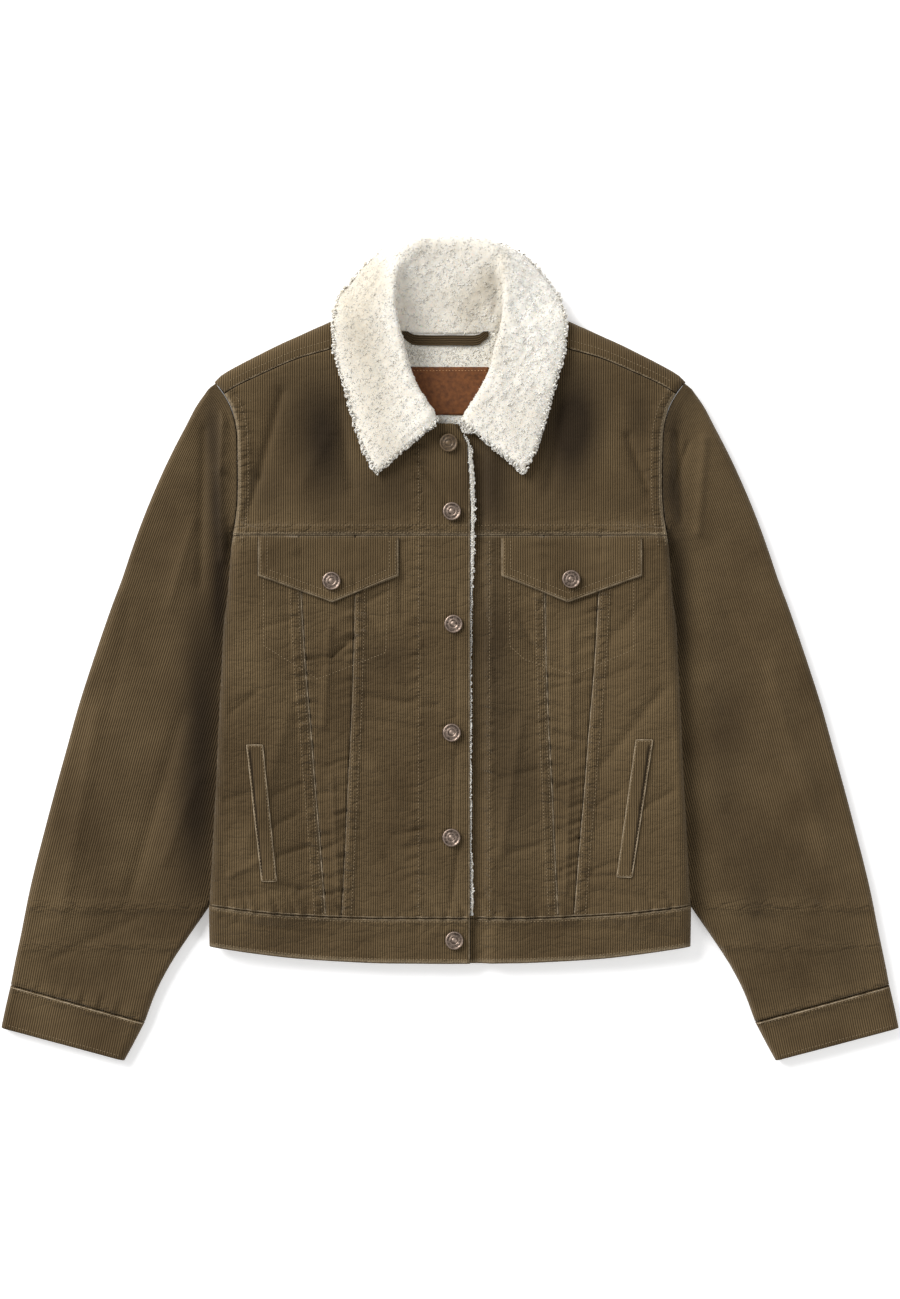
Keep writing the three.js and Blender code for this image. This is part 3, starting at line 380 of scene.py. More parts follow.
    @staticmethod
    def gather(x: Array, y: Array) -> Array:
        """Return how strongly the stitching gathers the pile into small ridges."""
        out = np.abs(x)
        free = ramp(-253, -249, y)
        below = ramp(YOKE_SEAM_Y + 1, YOKE_SEAM_Y - 3, y) * free
        inner, outer = out - insert_inner(y), out - insert_outer(y)
        value = below * (bell(outer - 6, 6.5) + bell(inner + 6, 6.5))
        value += 0.8 * bell(x + 29, 5) * ramp(212, 200, y) * free
        value += 0.8 * bell(x - 37, 5) * ramp(106, 100, y) * free
        value += 0.8 * bell(y - YOKE_SEAM_Y - 6, 6) * (out < 206)
        value += 0.7 * bell(y - waist_seam(out) + 2, 6)
        value += 0.5 * bell(y - hem_line(out), 5)
        arm = side_at(y) - out
        value += 0.9 * ramp(96, 104, y) * bell(arm - 6, 7)
        cuff = above_cuff(out, y)
        value += 0.8 * bell(cuff, 7) * (out > 270)
        body = ramp(YOKE_SEAM_Y + 30, YOKE_SEAM_Y, y) * (arm > 0)
        return np.clip(value, 0.06 + 0.2 * body, 1)

    @staticmethod
    def patched(table: Sequence[Sequence[float]], base: float, x: Array, y: Array) -> Array:
        """Return a base tone with a table of soft patches on it."""
        tone = np.full_like(np.asarray(x, float), base)
        for at_x, at_y, wide, tall, change in table:
            tone += change * np.exp(-((x - at_x) / wide) ** 2 - ((y - at_y) / tall) ** 2)
        return tone

    @staticmethod
    def painted_light_and_shade(x: Array, y: Array) -> Array:
        """Return the painted shade and painted light that turn the cloth darker or lighter from place to place."""
        return 0.5 + 0.5 * np.clip(Surface.patched(SHADE_AND_LIGHT_PATCHES, 0.0, x, y), -1, 1)

    @staticmethod
    def dim(x: Array, y: Array) -> Array:
        """Return how far the pile of the collar and the neck lies in shade."""
        return np.clip(Surface.patched(PILE_PATCHES, 0.25, x, y), 0, 1)


def over_cloth(x: Array, y: Array) -> tuple[Array, Array]:
    """Return height and wall of the wearer's right front."""
    return BODY_HEIGHT + ramp(34, 20, -x), mix(BODY_WALL, 3.4, ramp(28, 15, -x))


def under_cloth(x: Array, y: Array) -> tuple[Array, Array]:
    """Return height and wall of the left front, which runs under the other."""
    share = ramp(41, 28, x)
    return mix(BODY_HEIGHT, 12.0, share), mix(BODY_WALL, 2.7, share)


def body_cloth(x: Array, y: Array) -> tuple[Array, Array]:
    """Return height and wall of plain body cloth."""
    flat = np.ones_like(np.asarray(x, float))
    return BODY_HEIGHT * flat, BODY_WALL * flat


def waist_cloth(cloth: Cloth) -> Cloth:
    """Return the cloth of a waistband that continues a front."""
    def lowered(x: Array, y: Array) -> tuple[Array, Array]:
        """Return height and wall of the waistband."""
        height, wall = cloth(x, y)
        return height - 1.0, np.minimum(wall, 6.6)
    return lowered


def sleeve_cloth(x: Array, y: Array) -> tuple[Array, Array]:
    """Return height and wall of a sleeve, flatter where the body lies on it."""
    beyond = np.abs(x) - side_at(y)
    head = ramp(ARM_FREE_Y, ARM_JOINS_Y, y)
    tuck = (1 - head) * ramp(-262, -238, y)
    near = mix(SLEEVE_HEIGHT, BODY_HEIGHT, head) - 4.0 * tuck
    height = mix(near, SLEEVE_HEIGHT, ramp(1, 34, beyond))
    return height, 0.3875 * height + 0.55


def cuff_cloth(x: Array, y: Array) -> tuple[Array, Array]:
    """Return height and wall of a cuff."""
    flat = np.ones_like(np.asarray(x, float))
    return 13.0 * flat, 5.5 * flat


@dataclass
class Wall:
    """A lying wall of cloth, as rows of points along a path in plan."""

    path: Plan
    rows: int
    columns: int
    layer: int
    cloth: Cloth
    relief: Relief = Surface.none
    start_roll: Optional[Callable[[Array], Array]] = None
    end_roll: Optional[Callable[[Array], Array]] = None
    lifted: bool = True
    arc_steps: int = 6
    from_edge: bool = False
    outer: Array = field(init=False)
    inner: Array = field(init=False)
    uv: Array = field(init=False)

    def solve(self) -> "Wall":
        """Work out the outer points, the inner points and the cloth's own coordinates."""
        v = np.linspace(0, 1, self.rows + 1)[:, None]
        first, last = self.path(np.zeros_like(v), v), self.path(np.ones_like(v), v)
        length = np.hypot(last[0] - first[0], last[1] - first[1])
        blocks: list[tuple[Array, Array, Array, Array, Array]] = []
        start = self._radius(first, length) if self.start_roll else np.zeros_like(length)
        end = self._radius(last, length) if self.end_roll else np.zeros_like(length)
        if self.start_roll:
            blocks.append(self._arc(first, start, self.start_roll(v), length, True))
        u = np.linspace(0, 1, self.columns + 1)
        away = mix(start, length - end, u)
        x, y = self.path(away / length, v)
        height, wall = self.cloth(x, y)
        fade = np.ones_like(away)
        if self.start_roll:
            fade = fade * mix(1.0, ramp(0, 6, away), self.start_roll(v))
        if self.end_roll:
            fade = fade * mix(1.0, ramp(0, 6, length - away), self.end_roll(v))
        relief = self.relief(x, y) * fade
        if self.layer > 0:
            blocks.append((away, away, height + relief, height - wall, away))
        else:
            blocks.append((away, away, 0 * height, wall, away))
        if self.end_roll:
            blocks.append(self._arc(last, end, self.end_roll(v), length, False))
        outer_d, inner_d, outer_z, inner_z, run = (np.concatenate(part, axis=1) for part in zip(*blocks))
        self.outer = self._place(outer_d / length, v, outer_z)
        self.inner = self._place(inner_d / length, v, inner_z)
        x, y = self.outer[..., 0], self.outer[..., 1]
        self._soften()
        way = np.sign(last[0] - first[0])
        if self.from_edge:
            edge = np.hypot(np.diff(last[0], axis=0), np.diff(last[1], axis=0))
            down = np.concatenate([np.zeros((1, 1)), np.cumsum(edge, axis=0)])
            self.uv = np.stack(np.broadcast_arrays(run - length, down), axis=-1) * MM
        else:
            self.uv = np.stack([x + way * (run - outer_d), y], axis=-1) * MM
        return self

    def _radius(self, end: tuple[Array, Array], length: Array) -> Array:
        """Return the radius of the fold at one end."""
        return np.minimum(self.cloth(*end)[0] / 2, 0.42 * length)

    def _arc(self, end: tuple[Array, Array], radius: Array, roll: Array, length: Array, start: bool) -> tuple:
        """Return distances and heights of a folded end.

        Args:
            end: Place of the edge.
            radius: Radius of the fold.
            roll: How far it folds down, from 0 to 1.
            length: Length of each row.
            start: Whether this is the first end.

        Returns:
            Outer and inner distance, outer and inner height, and distance along the cloth.
        """
        order = np.arange(1, self.arc_steps + 1)
        angle = (order[::-1] if start else order) / self.arc_steps * math.pi / 2
        height, wall = self.cloth(*end)
        half = SEAM_GAP / 2
        stay = 1 - roll * (1 - np.cos(angle))
        inset = np.minimum(roll * wall, radius)
        outer = radius * (1 - np.sin(angle))
        inner = inset + (radius - inset) * (1 - np.sin(angle))
        run = radius - radius * angle
        outer_z = height / 2 + self.layer * (half + (height / 2 - half) * stay)
        inner_z = height / 2 + self.layer * (half + (height / 2 - wall - half) * stay)
        if start:
            return outer, inner, outer_z, inner_z, run
        return length - outer, length - inner, outer_z, inner_z, length - run

    def _place(self, share: Array, v: Array, z: Array) -> Array:
        """Return points in millimetres."""
        x, y = self.path(share, v)
        raised = lift(x, y) if self.lifted else 0
        return np.stack(np.broadcast_arrays(x, y, z + raised), axis=-1)

    def _soften(self) -> None:
        """Round the cut edges of the outer face a little, as turned cloth is."""
        if self.layer < 0:
            return
        drop = np.array([0.55, 0.12])
        for k, fall in enumerate(drop):
            self.outer[k, :, 2] -= fall
            self.outer[-1 - k, :, 2] -= fall
            if not self.start_roll:
                self.outer[:, k, 2] -= fall
            if not self.end_roll:
                self.outer[:, -1 - k, 2] -= fall


class MeshKit:
    """Turns grids and loose shapes into Blender objects."""

    @staticmethod
    def object_of(name: str, points: Array, faces: Sequence, uv: Optional[Array] = None,
                  shades: Optional[dict[str, Array]] = None) -> bpy.types.Object:
        """Make one smoothly shaded mesh object.

        Args:
            name: Name of the object.
            points: Points in millimetres.
            faces: Corners of each face.
            uv: Cloth coordinates of each point, in metres.
            shades: Named values of each point.

        Returns:
            The new object.
        """
        mesh = bpy.data.meshes.new(name)
        mesh.from_pydata((np.asarray(points) * MM).tolist(), [], [tuple(face) for face in faces])
        mesh.validate()
        mesh.polygons.foreach_set("use_smooth", [True] * len(mesh.polygons))
        loops = np.empty(len(mesh.loops), dtype=np.int32)
        mesh.loops.foreach_get("vertex_index", loops)
        if uv is not None:
            layer = mesh.uv_layers.new(name="cloth")
            layer.data.foreach_set("uv", np.asarray(uv)[loops].ravel())
        for key, values in (shades or {}).items():
            attribute = mesh.attributes.new(key, "FLOAT", "POINT")
            attribute.data.foreach_set("value", np.asarray(values, dtype=np.float32))
        mesh.update()
        made = bpy.data.objects.new(name, mesh)
        bpy.context.scene.collection.objects.link(made)
        return made

    @staticmethod
    def tube_faces(rings: int, sides: int) -> list[tuple[int, ...]]:
        """Return the faces between rings of points, each with the same number of sides."""
        faces: list[tuple[int, ...]] = []
        for low in range(0, (rings - 1) * sides, sides):
            for k in range(sides):
                nxt = (k + 1) % sides
                faces.append((low + k, low + nxt, low + sides + nxt, low + sides + k))
        return faces

    @staticmethod
    def shell_faces(rows: int, columns: int) -> list[tuple[int, int, int, int]]:
        """Return the faces of a closed wall between two grids of the same size."""
        over = np.arange(rows * columns).reshape(rows, columns)
        under = over + rows * columns
        corners = (
            (over[:-1, :-1], over[:-1, 1:], over[1:, 1:], over[1:, :-1]),
            (under[:-1, :-1], under[1:, :-1], under[1:, 1:], under[:-1, 1:]),
            (over[1:, 0], under[1:, 0], under[:-1, 0], over[:-1, 0]),
            (over[:-1, -1], under[:-1, -1], under[1:, -1], over[1:, -1]),
            (over[0, :-1], under[0, :-1], under[0, 1:], over[0, 1:]),
            (over[-1, 1:], under[-1, 1:], under[-1, :-1], over[-1, :-1]))
        faces = np.concatenate([np.stack(four, -1).reshape(-1, 4) for four in corners])
        return [tuple(face) for face in faces.tolist()]

    @classmethod
    def outward(cls, outer: Array, way: Array) -> list[tuple[int, ...]]:
        """Return the faces of a closed wall, turned to face out."""
        a, b, c = outer[0, 0], outer[0, -1], outer[-1, 0]
        faces = cls.shell_faces(*outer.shape[:2])
        return [face[::-1] for face in faces] if np.dot(np.cross(b - a, c - a), way) < 0 else faces

    @classmethod
    def shell(cls, name: str, outer: Array, inner: Array, uv: Array, wear: Optional[Array] = None,
              extra: Optional[dict[str, Array]] = None) -> bpy.types.Object:
        """Make a closed wall from an outer and an inner grid of points."""
        rows, columns = outer.shape[:2]
        faces = cls.outward(outer, (outer - inner)[rows // 2, columns // 2])
        points = np.concatenate([outer.reshape(-1, 3), inner.reshape(-1, 3)])
        both = np.concatenate([uv.reshape(-1, 2)] * 2)
        flat = np.zeros(rows * columns) if wear is None else wear.reshape(-1)
        shades = {"wear": np.concatenate([flat, flat]),
                  "lining": np.concatenate([np.zeros(rows * columns), np.ones(rows * columns)])}
        # Without given values the painted shade and light stays neutral.
        for key, values in (extra or {"painted_light_and_shade": np.full(rows * columns, 0.5)}).items():
            shades[key] = np.concatenate([values.reshape(-1)] * 2)
        return cls.object_of(name, points, faces, both, shades)

    @classmethod
    def pile_shell(cls, name: str, outer: Array, inner: Array, uv: Optional[Array] = None) -> bpy.types.Object:
        """Make a closed wall of pile, shaded from place to place."""
        x, y = outer[..., 0], outer[..., 1]
        uv = outer[..., :2] * MM if uv is None else uv
        return cls.shell(name, outer, inner, uv, extra={"dim": Surface.dim(x, y)})

    @staticmethod
    def sheet_facts(outer: Array) -> tuple[tuple[float, float], float]:
        """Return the flat width and length of a panel and its area, in metres."""
        across = np.linalg.norm(np.diff(outer, axis=1), axis=2).sum(axis=1).max() * MM
        along = np.linalg.norm(np.diff(outer, axis=0), axis=2).sum(axis=0).max() * MM
        one = np.cross(outer[:-1, 1:] - outer[:-1, :-1], outer[1:, :-1] - outer[:-1, :-1])
        two = np.cross(outer[1:, :-1] - outer[1:, 1:], outer[:-1, 1:] - outer[1:, 1:])
        area = (np.linalg.norm(one, axis=2).sum() + np.linalg.norm(two, axis=2).sum()) / 2 * MM * MM
        return (float(across), float(along)), float(min(area, across * along))


class Nodes:
    """Short ways to write a material's nodes."""

    def __init__(self, name: str) -> None:
        """Start an empty material with a principled surface."""
        self.material = bpy.data.materials.new(name)
        self.material.use_nodes = True
        self.tree = self.material.node_tree
        self.tree.nodes.clear()
        self.output = self.tree.nodes.new("ShaderNodeOutputMaterial")
        self.surface = self.tree.nodes.new("ShaderNodeBsdfPrincipled")
        self.tree.links.new(self.surface.outputs[0], self.output.inputs[0])

    def join(self, source: bpy.types.NodeSocket, target: bpy.types.NodeSocket) -> None:
        """Link two sockets."""
        self.tree.links.new(source, target)

    def feed(self, socket: bpy.types.NodeSocket, value: object) -> None:
        """Link a socket or set its plain value."""
        if isinstance(value, bpy.types.NodeSocket):
            self.join(value, socket)
        else:
            socket.default_value = value

    def maths(self, operation: str, *values: object) -> bpy.types.NodeSocket:
        """Return the result of a math node."""
        node = self.tree.nodes.new("ShaderNodeMath")
        node.operation = operation
        for index, value in enumerate(values):
            self.feed(node.inputs[index], value)
        return node.outputs[0]

    def noise(self, where: bpy.types.NodeSocket, scale: float, detail: float = 3.0) -> bpy.types.NodeSocket:
        """Return the value of a noise."""
        node = self.tree.nodes.new("ShaderNodeTexNoise")
        self.join(where, node.inputs["Vector"])
        node.inputs["Scale"].default_value = scale
        node.inputs["Detail"].default_value = detail
        return node.outputs["Fac"]

    def cells(self, where: bpy.types.NodeSocket, scale: float) -> bpy.types.NodeSocket:
        """Return the distance of a cell pattern."""
        node = self.tree.nodes.new("ShaderNodeTexVoronoi")
        self.join(where, node.inputs["Vector"])
        node.inputs["Scale"].default_value = scale
        return node.outputs["Distance"]

    def blend(self, share: object, low: object, high: object) -> bpy.types.NodeSocket:
        """Return a mix of two colours."""
        node = self.tree.nodes.new("ShaderNodeMix")
        node.data_type = "RGBA"
        self.feed(node.inputs[0], share)
        self.feed(node.inputs[6], low)
        self.feed(node.inputs[7], high)
        return node.outputs[2]

    def span(self, value: bpy.types.NodeSocket, low: float, high: float, to_low: float = 0.0,
             to_high: float = 1.0) -> bpy.types.NodeSocket:
        """Return a value moved from one range to another."""
        node = self.tree.nodes.new("ShaderNodeMapRange")
        for index, part in enumerate((value, low, high, to_low, to_high)):
            self.feed(node.inputs[index], part)
        return node.outputs[0]

    def stretched(self, where: bpy.types.NodeSocket, x: float, y: float) -> bpy.types.NodeSocket:
        """Return places scaled along X and Y."""
        node = self.tree.nodes.new("ShaderNodeMapping")
        node.inputs["Scale"].default_value = (x, y, 1.0)
        self.join(where, node.inputs["Vector"])
        return node.outputs[0]

    def bump(self, height: bpy.types.NodeSocket, strength: float, distance: float) -> None:
        """Raise the surface by a height."""
        node = self.tree.nodes.new("ShaderNodeBump")
        node.inputs["Strength"].default_value = strength
        node.inputs["Distance"].default_value = distance
        self.join(height, node.inputs["Height"])
        self.join(node.outputs[0], self.surface.inputs["Normal"])

    def place(self) -> bpy.types.NodeSocket:
        """Return the point's own place on the object."""
        return self.tree.nodes.new("ShaderNodeTexCoord").outputs["Object"]

    def value_of(self, name: str) -> bpy.types.NodeSocket:
        """Return a named value of the mesh."""
        node = self.tree.nodes.new("ShaderNodeAttribute")
        node.attribute_name = name
        return node.outputs["Fac"]

    def cloth_place(self) -> bpy.types.NodeSocket:
        """Return the cloth's own coordinates."""
        node = self.tree.nodes.new("ShaderNodeUVMap")
        node.uv_map = "cloth"
        return node.outputs["UV"]

    def plain(self, **values: object) -> None:
        """Set constants on the surface's own sockets."""
        for key, value in values.items():
            self.surface.inputs[key.replace("_", " ")].default_value = value


@dataclass(frozen=True)
class Corduroy:
    """Ribbed cotton with an olive brown pile, paler where it is rubbed, with painted shade and painted light from
    place to place.
    """

    wale: float = 0.00215
    deep: Colour = (0.031, 0.020, 0.009, 1)
    pile: Colour = (0.083, 0.054, 0.025, 1)
    light: Colour = (0.142, 0.097, 0.0475, 1)
    worn: Colour = (0.40, 0.32, 0.21, 1)
    shadow: Colour = (0.022, 0.014, 0.007, 1)

    def build(self) -> bpy.types.Material:
        """Return the material."""
        n = Nodes("corduroy")
        cloth = n.cloth_place()
        split = n.tree.nodes.new("ShaderNodeSeparateXYZ")
        n.join(cloth, split.inputs[0])
        wobble = n.maths("MULTIPLY", n.maths("SUBTRACT", n.noise(cloth, 60.0), 0.5), 0.0007)
        turn = n.maths("MULTIPLY", n.maths("ADD", split.outputs[0], wobble), 2 * math.pi / self.wale)
        wave = n.span(n.maths("SINE", turn), -1.0, 1.0)
        rib = n.maths("POWER", wave, 0.6)
        streak = n.noise(n.stretched(cloth, 1.0, 0.12), 420.0, 2.0)
        mottle = n.noise(n.place(), 14.0, 4.0)
        fibres = n.noise(cloth, 2600.0, 2.0)
        tone = n.blend(n.span(mottle, 0.32, 0.68), self.pile, self.light)
        tone = n.blend(n.maths("MULTIPLY", n.span(streak, 0.45, 0.75), 0.35), tone, self.light)
        # Darker between the wales: partly the bare ground weave, partly painted shade in the grooves.
        grooved = n.blend(n.span(rib, 0.0, 0.85), self.deep, tone)
        # Painted shade and painted light: the value darkens the cloth towards the shadow colour below 0.5 and
        # lightens it above.
        darker = n.blend(n.span(n.value_of("painted_light_and_shade"), 0.0, 0.5), self.shadow, grooved)
        lighter = n.blend(0.35, grooved, self.light)
        shaded_and_lit = n.blend(n.span(n.value_of("painted_light_and_shade"), 0.5, 1.0), darker, lighter)
        rubbed = n.maths("MULTIPLY", n.value_of("wear"), n.span(fibres, 0.25, 0.6, 0.45, 1.0))
        n.join(n.blend(rubbed, shaded_and_lit, self.worn), n.surface.inputs["Base Color"])
        n.plain(Roughness=0.95, Sheen_Weight=0.35, Sheen_Roughness=0.45, Sheen_Tint=(0.62, 0.5, 0.36, 1),
                Specular_IOR_Level=0.12)
        ridges = n.maths("MULTIPLY", n.noise(n.stretched(n.place(), 0.55, 1.0), 300.0, 2.0), n.value_of("gather"))
        soft = n.noise(n.stretched(n.place(), 0.6, 1.35), 52.0, 3.0)
        fold = n.maths("ABSOLUTE", n.maths("SUBTRACT", n.maths("MULTIPLY", soft, 2.0), 1.0))
        folds = n.maths("POWER", n.span(fold, 0.0, 0.4), 0.6)
        amount = n.span(n.value_of("gather"), 0.0, 1.0, 0.5, 6.0)
        height = n.maths("ADD", rib, n.maths("MULTIPLY", fibres, 0.22))
        height = n.maths("ADD", height, n.maths("MULTIPLY", folds, amount))
        n.bump(n.maths("ADD", height, n.maths("MULTIPLY", ridges, 6.0)), 0.8, 0.0008)
        return n.material


@dataclass(frozen=True)
class Sherpa:
    """Ivory pile in small curls."""

    shade: Colour = (0.74, 0.66, 0.53, 1)
    ivory: Colour = (0.94, 0.915, 0.85, 1)
    dark: Colour = (0.50, 0.455, 0.375, 1)

    def build(self) -> bpy.types.Material:
        """Return the material."""
        n = Nodes("sherpa")
        place = n.place()
        curls = n.cells(place, 420.0)
        clumps = n.cells(place, 170.0)
        soft = n.noise(place, 900.0, 3.0)
        # Painted shade and painted light: a high dim value turns the pile towards the dark colour, a low one towards
        # ivory.
        tone = n.blend(n.value_of("dim"), self.ivory, self.dark)
        tone = n.blend(n.span(clumps, 0.25, 0.75, 0.0, 0.22), tone, self.shade)
        tone = n.blend(n.span(soft, 0.35, 0.7, 0.0, 0.15), tone, self.shade)
        n.join(tone, n.surface.inputs["Base Color"])
        n.plain(Roughness=1.0, Sheen_Weight=0.5, Sheen_Roughness=0.6, Sheen_Tint=(1, 0.97, 0.92, 1),
                Subsurface_Weight=0.3, Subsurface_Scale=0.004, Specular_IOR_Level=0.1)
        n.surface.inputs["Subsurface Radius"].default_value = (1.0, 0.8, 0.6)
        height = n.maths("ADD", n.maths("MULTIPLY", n.span(curls, 0.0, 0.8, 1.0, 0.0), 0.6), soft)
        n.bump(height, 0.22, 0.0009)
        return n.material


@dataclass(frozen=True)
class Leather:
    """Brown leather with a fine grain, left blank."""

    dark: Colour = (0.085, 0.030, 0.010, 1)
    brown: Colour = (0.175, 0.062, 0.018, 1)

    def build(self) -> bpy.types.Material:
        """Return the material."""
        n = Nodes("label_leather")
        place = n.place()
        grain = n.cells(place, 1500.0)
        patch = n.noise(place, 260.0, 5.0)
        n.plain(Specular_IOR_Level=0.22)
        n.join(n.blend(n.span(patch, 0.3, 0.7), self.dark, self.brown), n.surface.inputs["Base Color"])
        n.join(n.span(patch, 0.3, 0.7, 0.62, 0.45), n.surface.inputs["Roughness"])
        n.bump(n.maths("ADD", grain, n.maths("MULTIPLY", patch, 1.5)), 0.35, 0.0004)
        return n.material


@dataclass(frozen=True)
class ButtonMetal:
    """Aged copper brown metal, brighter on its raised parts."""

    name: str = "button_metal"
    dark: Colour = (0.060, 0.042, 0.032, 1)
    bright: Colour = (0.36, 0.275, 0.22, 1)
    metal: float = 0.85

    def build(self) -> bpy.types.Material:
        """Return the material."""
        n = Nodes(self.name)
        place = n.place()
        tarnish = n.noise(place, 480.0, 5.0)
        raised = n.span(n.value_of("raised"), 0.0, 1.0, -0.25, 0.35)
        n.join(n.blend(n.maths("ADD", n.span(tarnish, 0.3, 0.7), raised), self.dark, self.bright),
               n.surface.inputs["Base Color"])
        n.join(n.span(tarnish, 0.3, 0.7, 0.55, 0.34), n.surface.inputs["Roughness"])
        n.plain(Metallic=self.metal)
        n.bump(tarnish, 0.25, 0.0003)
        return n.material


@dataclass(frozen=True)
class Thread:
    """Tan sewing thread with a twist."""

    name: str = "tan_thread"
    low: Colour = (0.19, 0.135, 0.07, 1)
    high: Colour = (0.36, 0.27, 0.16, 1)
    grain: float = 2200.0

    def build(self) -> bpy.types.Material:
        """Return the material."""
        n = Nodes(self.name)
        twist = n.noise(n.place(), self.grain, 2.0)
        n.join(n.blend(n.span(twist, 0.3, 0.7), self.low, self.high), n.surface.inputs["Base Color"])
        n.plain(Roughness=0.8)
        n.bump(twist, 0.3, 0.0002)
        return n.material


@dataclass(frozen=True)
class PaleFloor:
    """Plain pale floor, which glows a little so that the shadow on it stays faint."""

    tone: Colour = (0.93, 0.93, 0.93, 1)
    glow: float = 0.35

    def build(self) -> bpy.types.Material:
        """Return the material."""
        n = Nodes("pale_floor")
        n.plain(Base_Color=self.tone, Roughness=0.9, Emission_Color=self.tone, Emission_Strength=self.glow)
        return n.material


@dataclass
class Looks:
    """The finishes of the jacket, each made once."""

    corduroy: bpy.types.Material = field(default_factory=Corduroy().build)
    sherpa: bpy.types.Material = field(default_factory=Sherpa().build)
    leather: bpy.types.Material = field(default_factory=Leather().build)
    metal: bpy.types.Material = field(default_factory=ButtonMetal().build)
    dull_metal: bpy.types.Material = field(default_factory=ButtonMetal(
        "dull_button_metal", (0.045, 0.029, 0.016, 1), (0.15, 0.10, 0.055, 1), 0.35).build)
    thread: bpy.types.Material = field(default_factory=Thread().build)
    pale_edge: bpy.types.Material = field(default_factory=Thread(
        "rubbed_corduroy", (0.17, 0.128, 0.075, 1), (0.37, 0.29, 0.19, 1), 700.0).build)
    soft_edge: bpy.types.Material = field(default_factory=Thread(
        "soft_rubbed_corduroy", (0.085, 0.057, 0.028, 1), (0.23, 0.175, 0.105, 1), 500.0).build)
    label_thread: bpy.types.Material = field(default_factory=Thread(
        "label_thread", (0.40, 0.20, 0.08, 1), (0.62, 0.36, 0.17, 1)).build)


class Side(Enum):
    """The wearer's sides, with their direction along X."""

    RIGHT = -1
    LEFT = 1

    @property
    def word(self) -> str:
        """Return the side's name in a node."""
        return self.name.lower()


class Piece:
    """Ways to hand a finished piece to the frame."""

    @staticmethod
    def settle(piece: bpy.types.Object, slot: str, material: bpy.types.Material, *nodes: str) -> bpy.types.Object:
        """Dress a piece, let it ride on the body and stand for its solids."""
        piece.data.materials.append(material)
        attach(piece, "root")
        if nodes:
            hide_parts(*nodes)
        LOG.info("made %s", piece.name)
        return piece

    @classmethod
    def panel(cls, name: str, wall: Wall, looks: Looks, node: str, worn: bool = False) -> bpy.types.Object:
        """Make one cut panel of lined corduroy from its wall."""
        wall.solve()
        outer = wall.outer
        x, y = outer[..., 0], outer[..., 1]
        wear = Surface.wear(x, y) if worn else None
        # Each upper panel carries its painted shade and painted light.
        extra = {"gather": Surface.gather(x, y), "painted_light_and_shade": Surface.painted_light_and_shade(x, y)} if wall.layer > 0 else None
        piece = MeshKit.shell(name, outer, wall.inner, wall.uv, wear, extra)
        cls.settle(piece, "corduroy", looks.corduroy, node)
        flat, area = MeshKit.sheet_facts(outer)
        return piece


@dataclass
class Heights:
    """Height of the dressed cloth at a place, taken from finished panels."""

    names: list[str]

    def at(self, x: float, y: float) -> float:
        """Return the height in millimetres of the highest panel under a place."""
        best = 0.0
        for name in self.names:
            thing = bpy.data.objects[name]
            hit, where, _, _ = thing.ray_cast((x * MM, y * MM, 0.2), (0, 0, -1))
            if hit:
                best = max(best, where.z / MM)
        return best

    def over(self, x: Array, y: Array) -> Array:
        """Return the heights under a grid of places."""
        return np.array([[self.at(float(a), float(b)) for a, b in zip(*line)] for line in zip(x, y)])


def front_names() -> list[str]:
    """Return the names of the panels that show in front."""
    return [f"{stem}_{side.word}_cloth" for side in Side for stem in FRONT_STEMS] + ["back_yoke_cloth"]


@dataclass
class StitchRow:
    """A row of topstitching along a line in plan."""

    points: Sequence[tuple[float, float]]
    pitch: float = 3.2
    length: float = 2.5
    width: float = 0.62

    def places(self) -> Array:
        """Return the middle and direction of every stitch."""
        line = np.array(self.points, float)
        total = distances(line)
        count = max(1, int(total[-1] / self.pitch))
        at = (np.arange(count) + 0.5) * total[-1] / count
        middle = np.stack([np.interp(at, total, line[:, k]) for k in (0, 1)], -1)
        ahead = np.stack([np.interp(at + 0.6, total, line[:, k]) for k in (0, 1)], -1)
        behind = np.stack([np.interp(at - 0.6, total, line[:, k]) for k in (0, 1)], -1)
        return np.concatenate([middle, unit(ahead - behind)], axis=1)


class Stitcher:
    """Sews rows of stitches onto finished panels."""

    sides: int = 5
    rise: float = 0.2
    sink: float = 0.12
    step: float = 1.5

    def __init__(self, heights: Heights) -> None:
        """Keep the panels that the stitches lie on."""
        self.heights = heights
        self.points: list[tuple[float, float, float]] = []
        self.faces: list[tuple[int, ...]] = []

    def sew(self, row: StitchRow) -> None:
        """Add the stitches of one row."""
        for x, y, dx, dy in row.places():
            z = self.heights.at(x, y)
            if z <= 0:
                continue
            reach = [s * row.length * 0.4 for s in (-1, 1)]
            ends = [self.heights.at(x + r * dx, y + r * dy) for r in reach]
            ends = [end if abs(end - z) < self.step else z for end in ends]
            half, side = row.length / 2, row.width / 2
            base = len(self.points)
            self.points.append((x - dx * half, y - dy * half, ends[0] - self.sink))
            for k in range(self.sides):
                angle = 2 * math.pi * k / self.sides
                a, b = math.cos(angle) * side, math.sin(angle) * side
                self.points.append((x - dy * a, y + dx * a, z + self.rise + b))
            self.points.append((x + dx * half, y + dy * half, ends[1] - self.sink))
            for k in range(self.sides):
                nxt = base + 1 + (k + 1) % self.sides
                self.faces.append((base, nxt, base + 1 + k))
                self.faces.append((base + 1 + self.sides, base + 1 + k, nxt))

    def sew_curve(self, line: Callable[[float], tuple[float, float]], low: float, high: float) -> None:
        """Add a row along a line given by a function, from one value to another."""
        self.sew(StitchRow([line(float(t)) for t in np.linspace(low, high, 60)]))

    def finish(self, name: str, material: bpy.types.Material, slot: str) -> Optional[bpy.types.Object]:
        """Make one piece of all the stitches so far."""
        if not self.points:
            return None
        piece = MeshKit.object_of(name, np.array(self.points), self.faces)
        self.points, self.faces = [], []
        return Piece.settle(piece, slot, material)


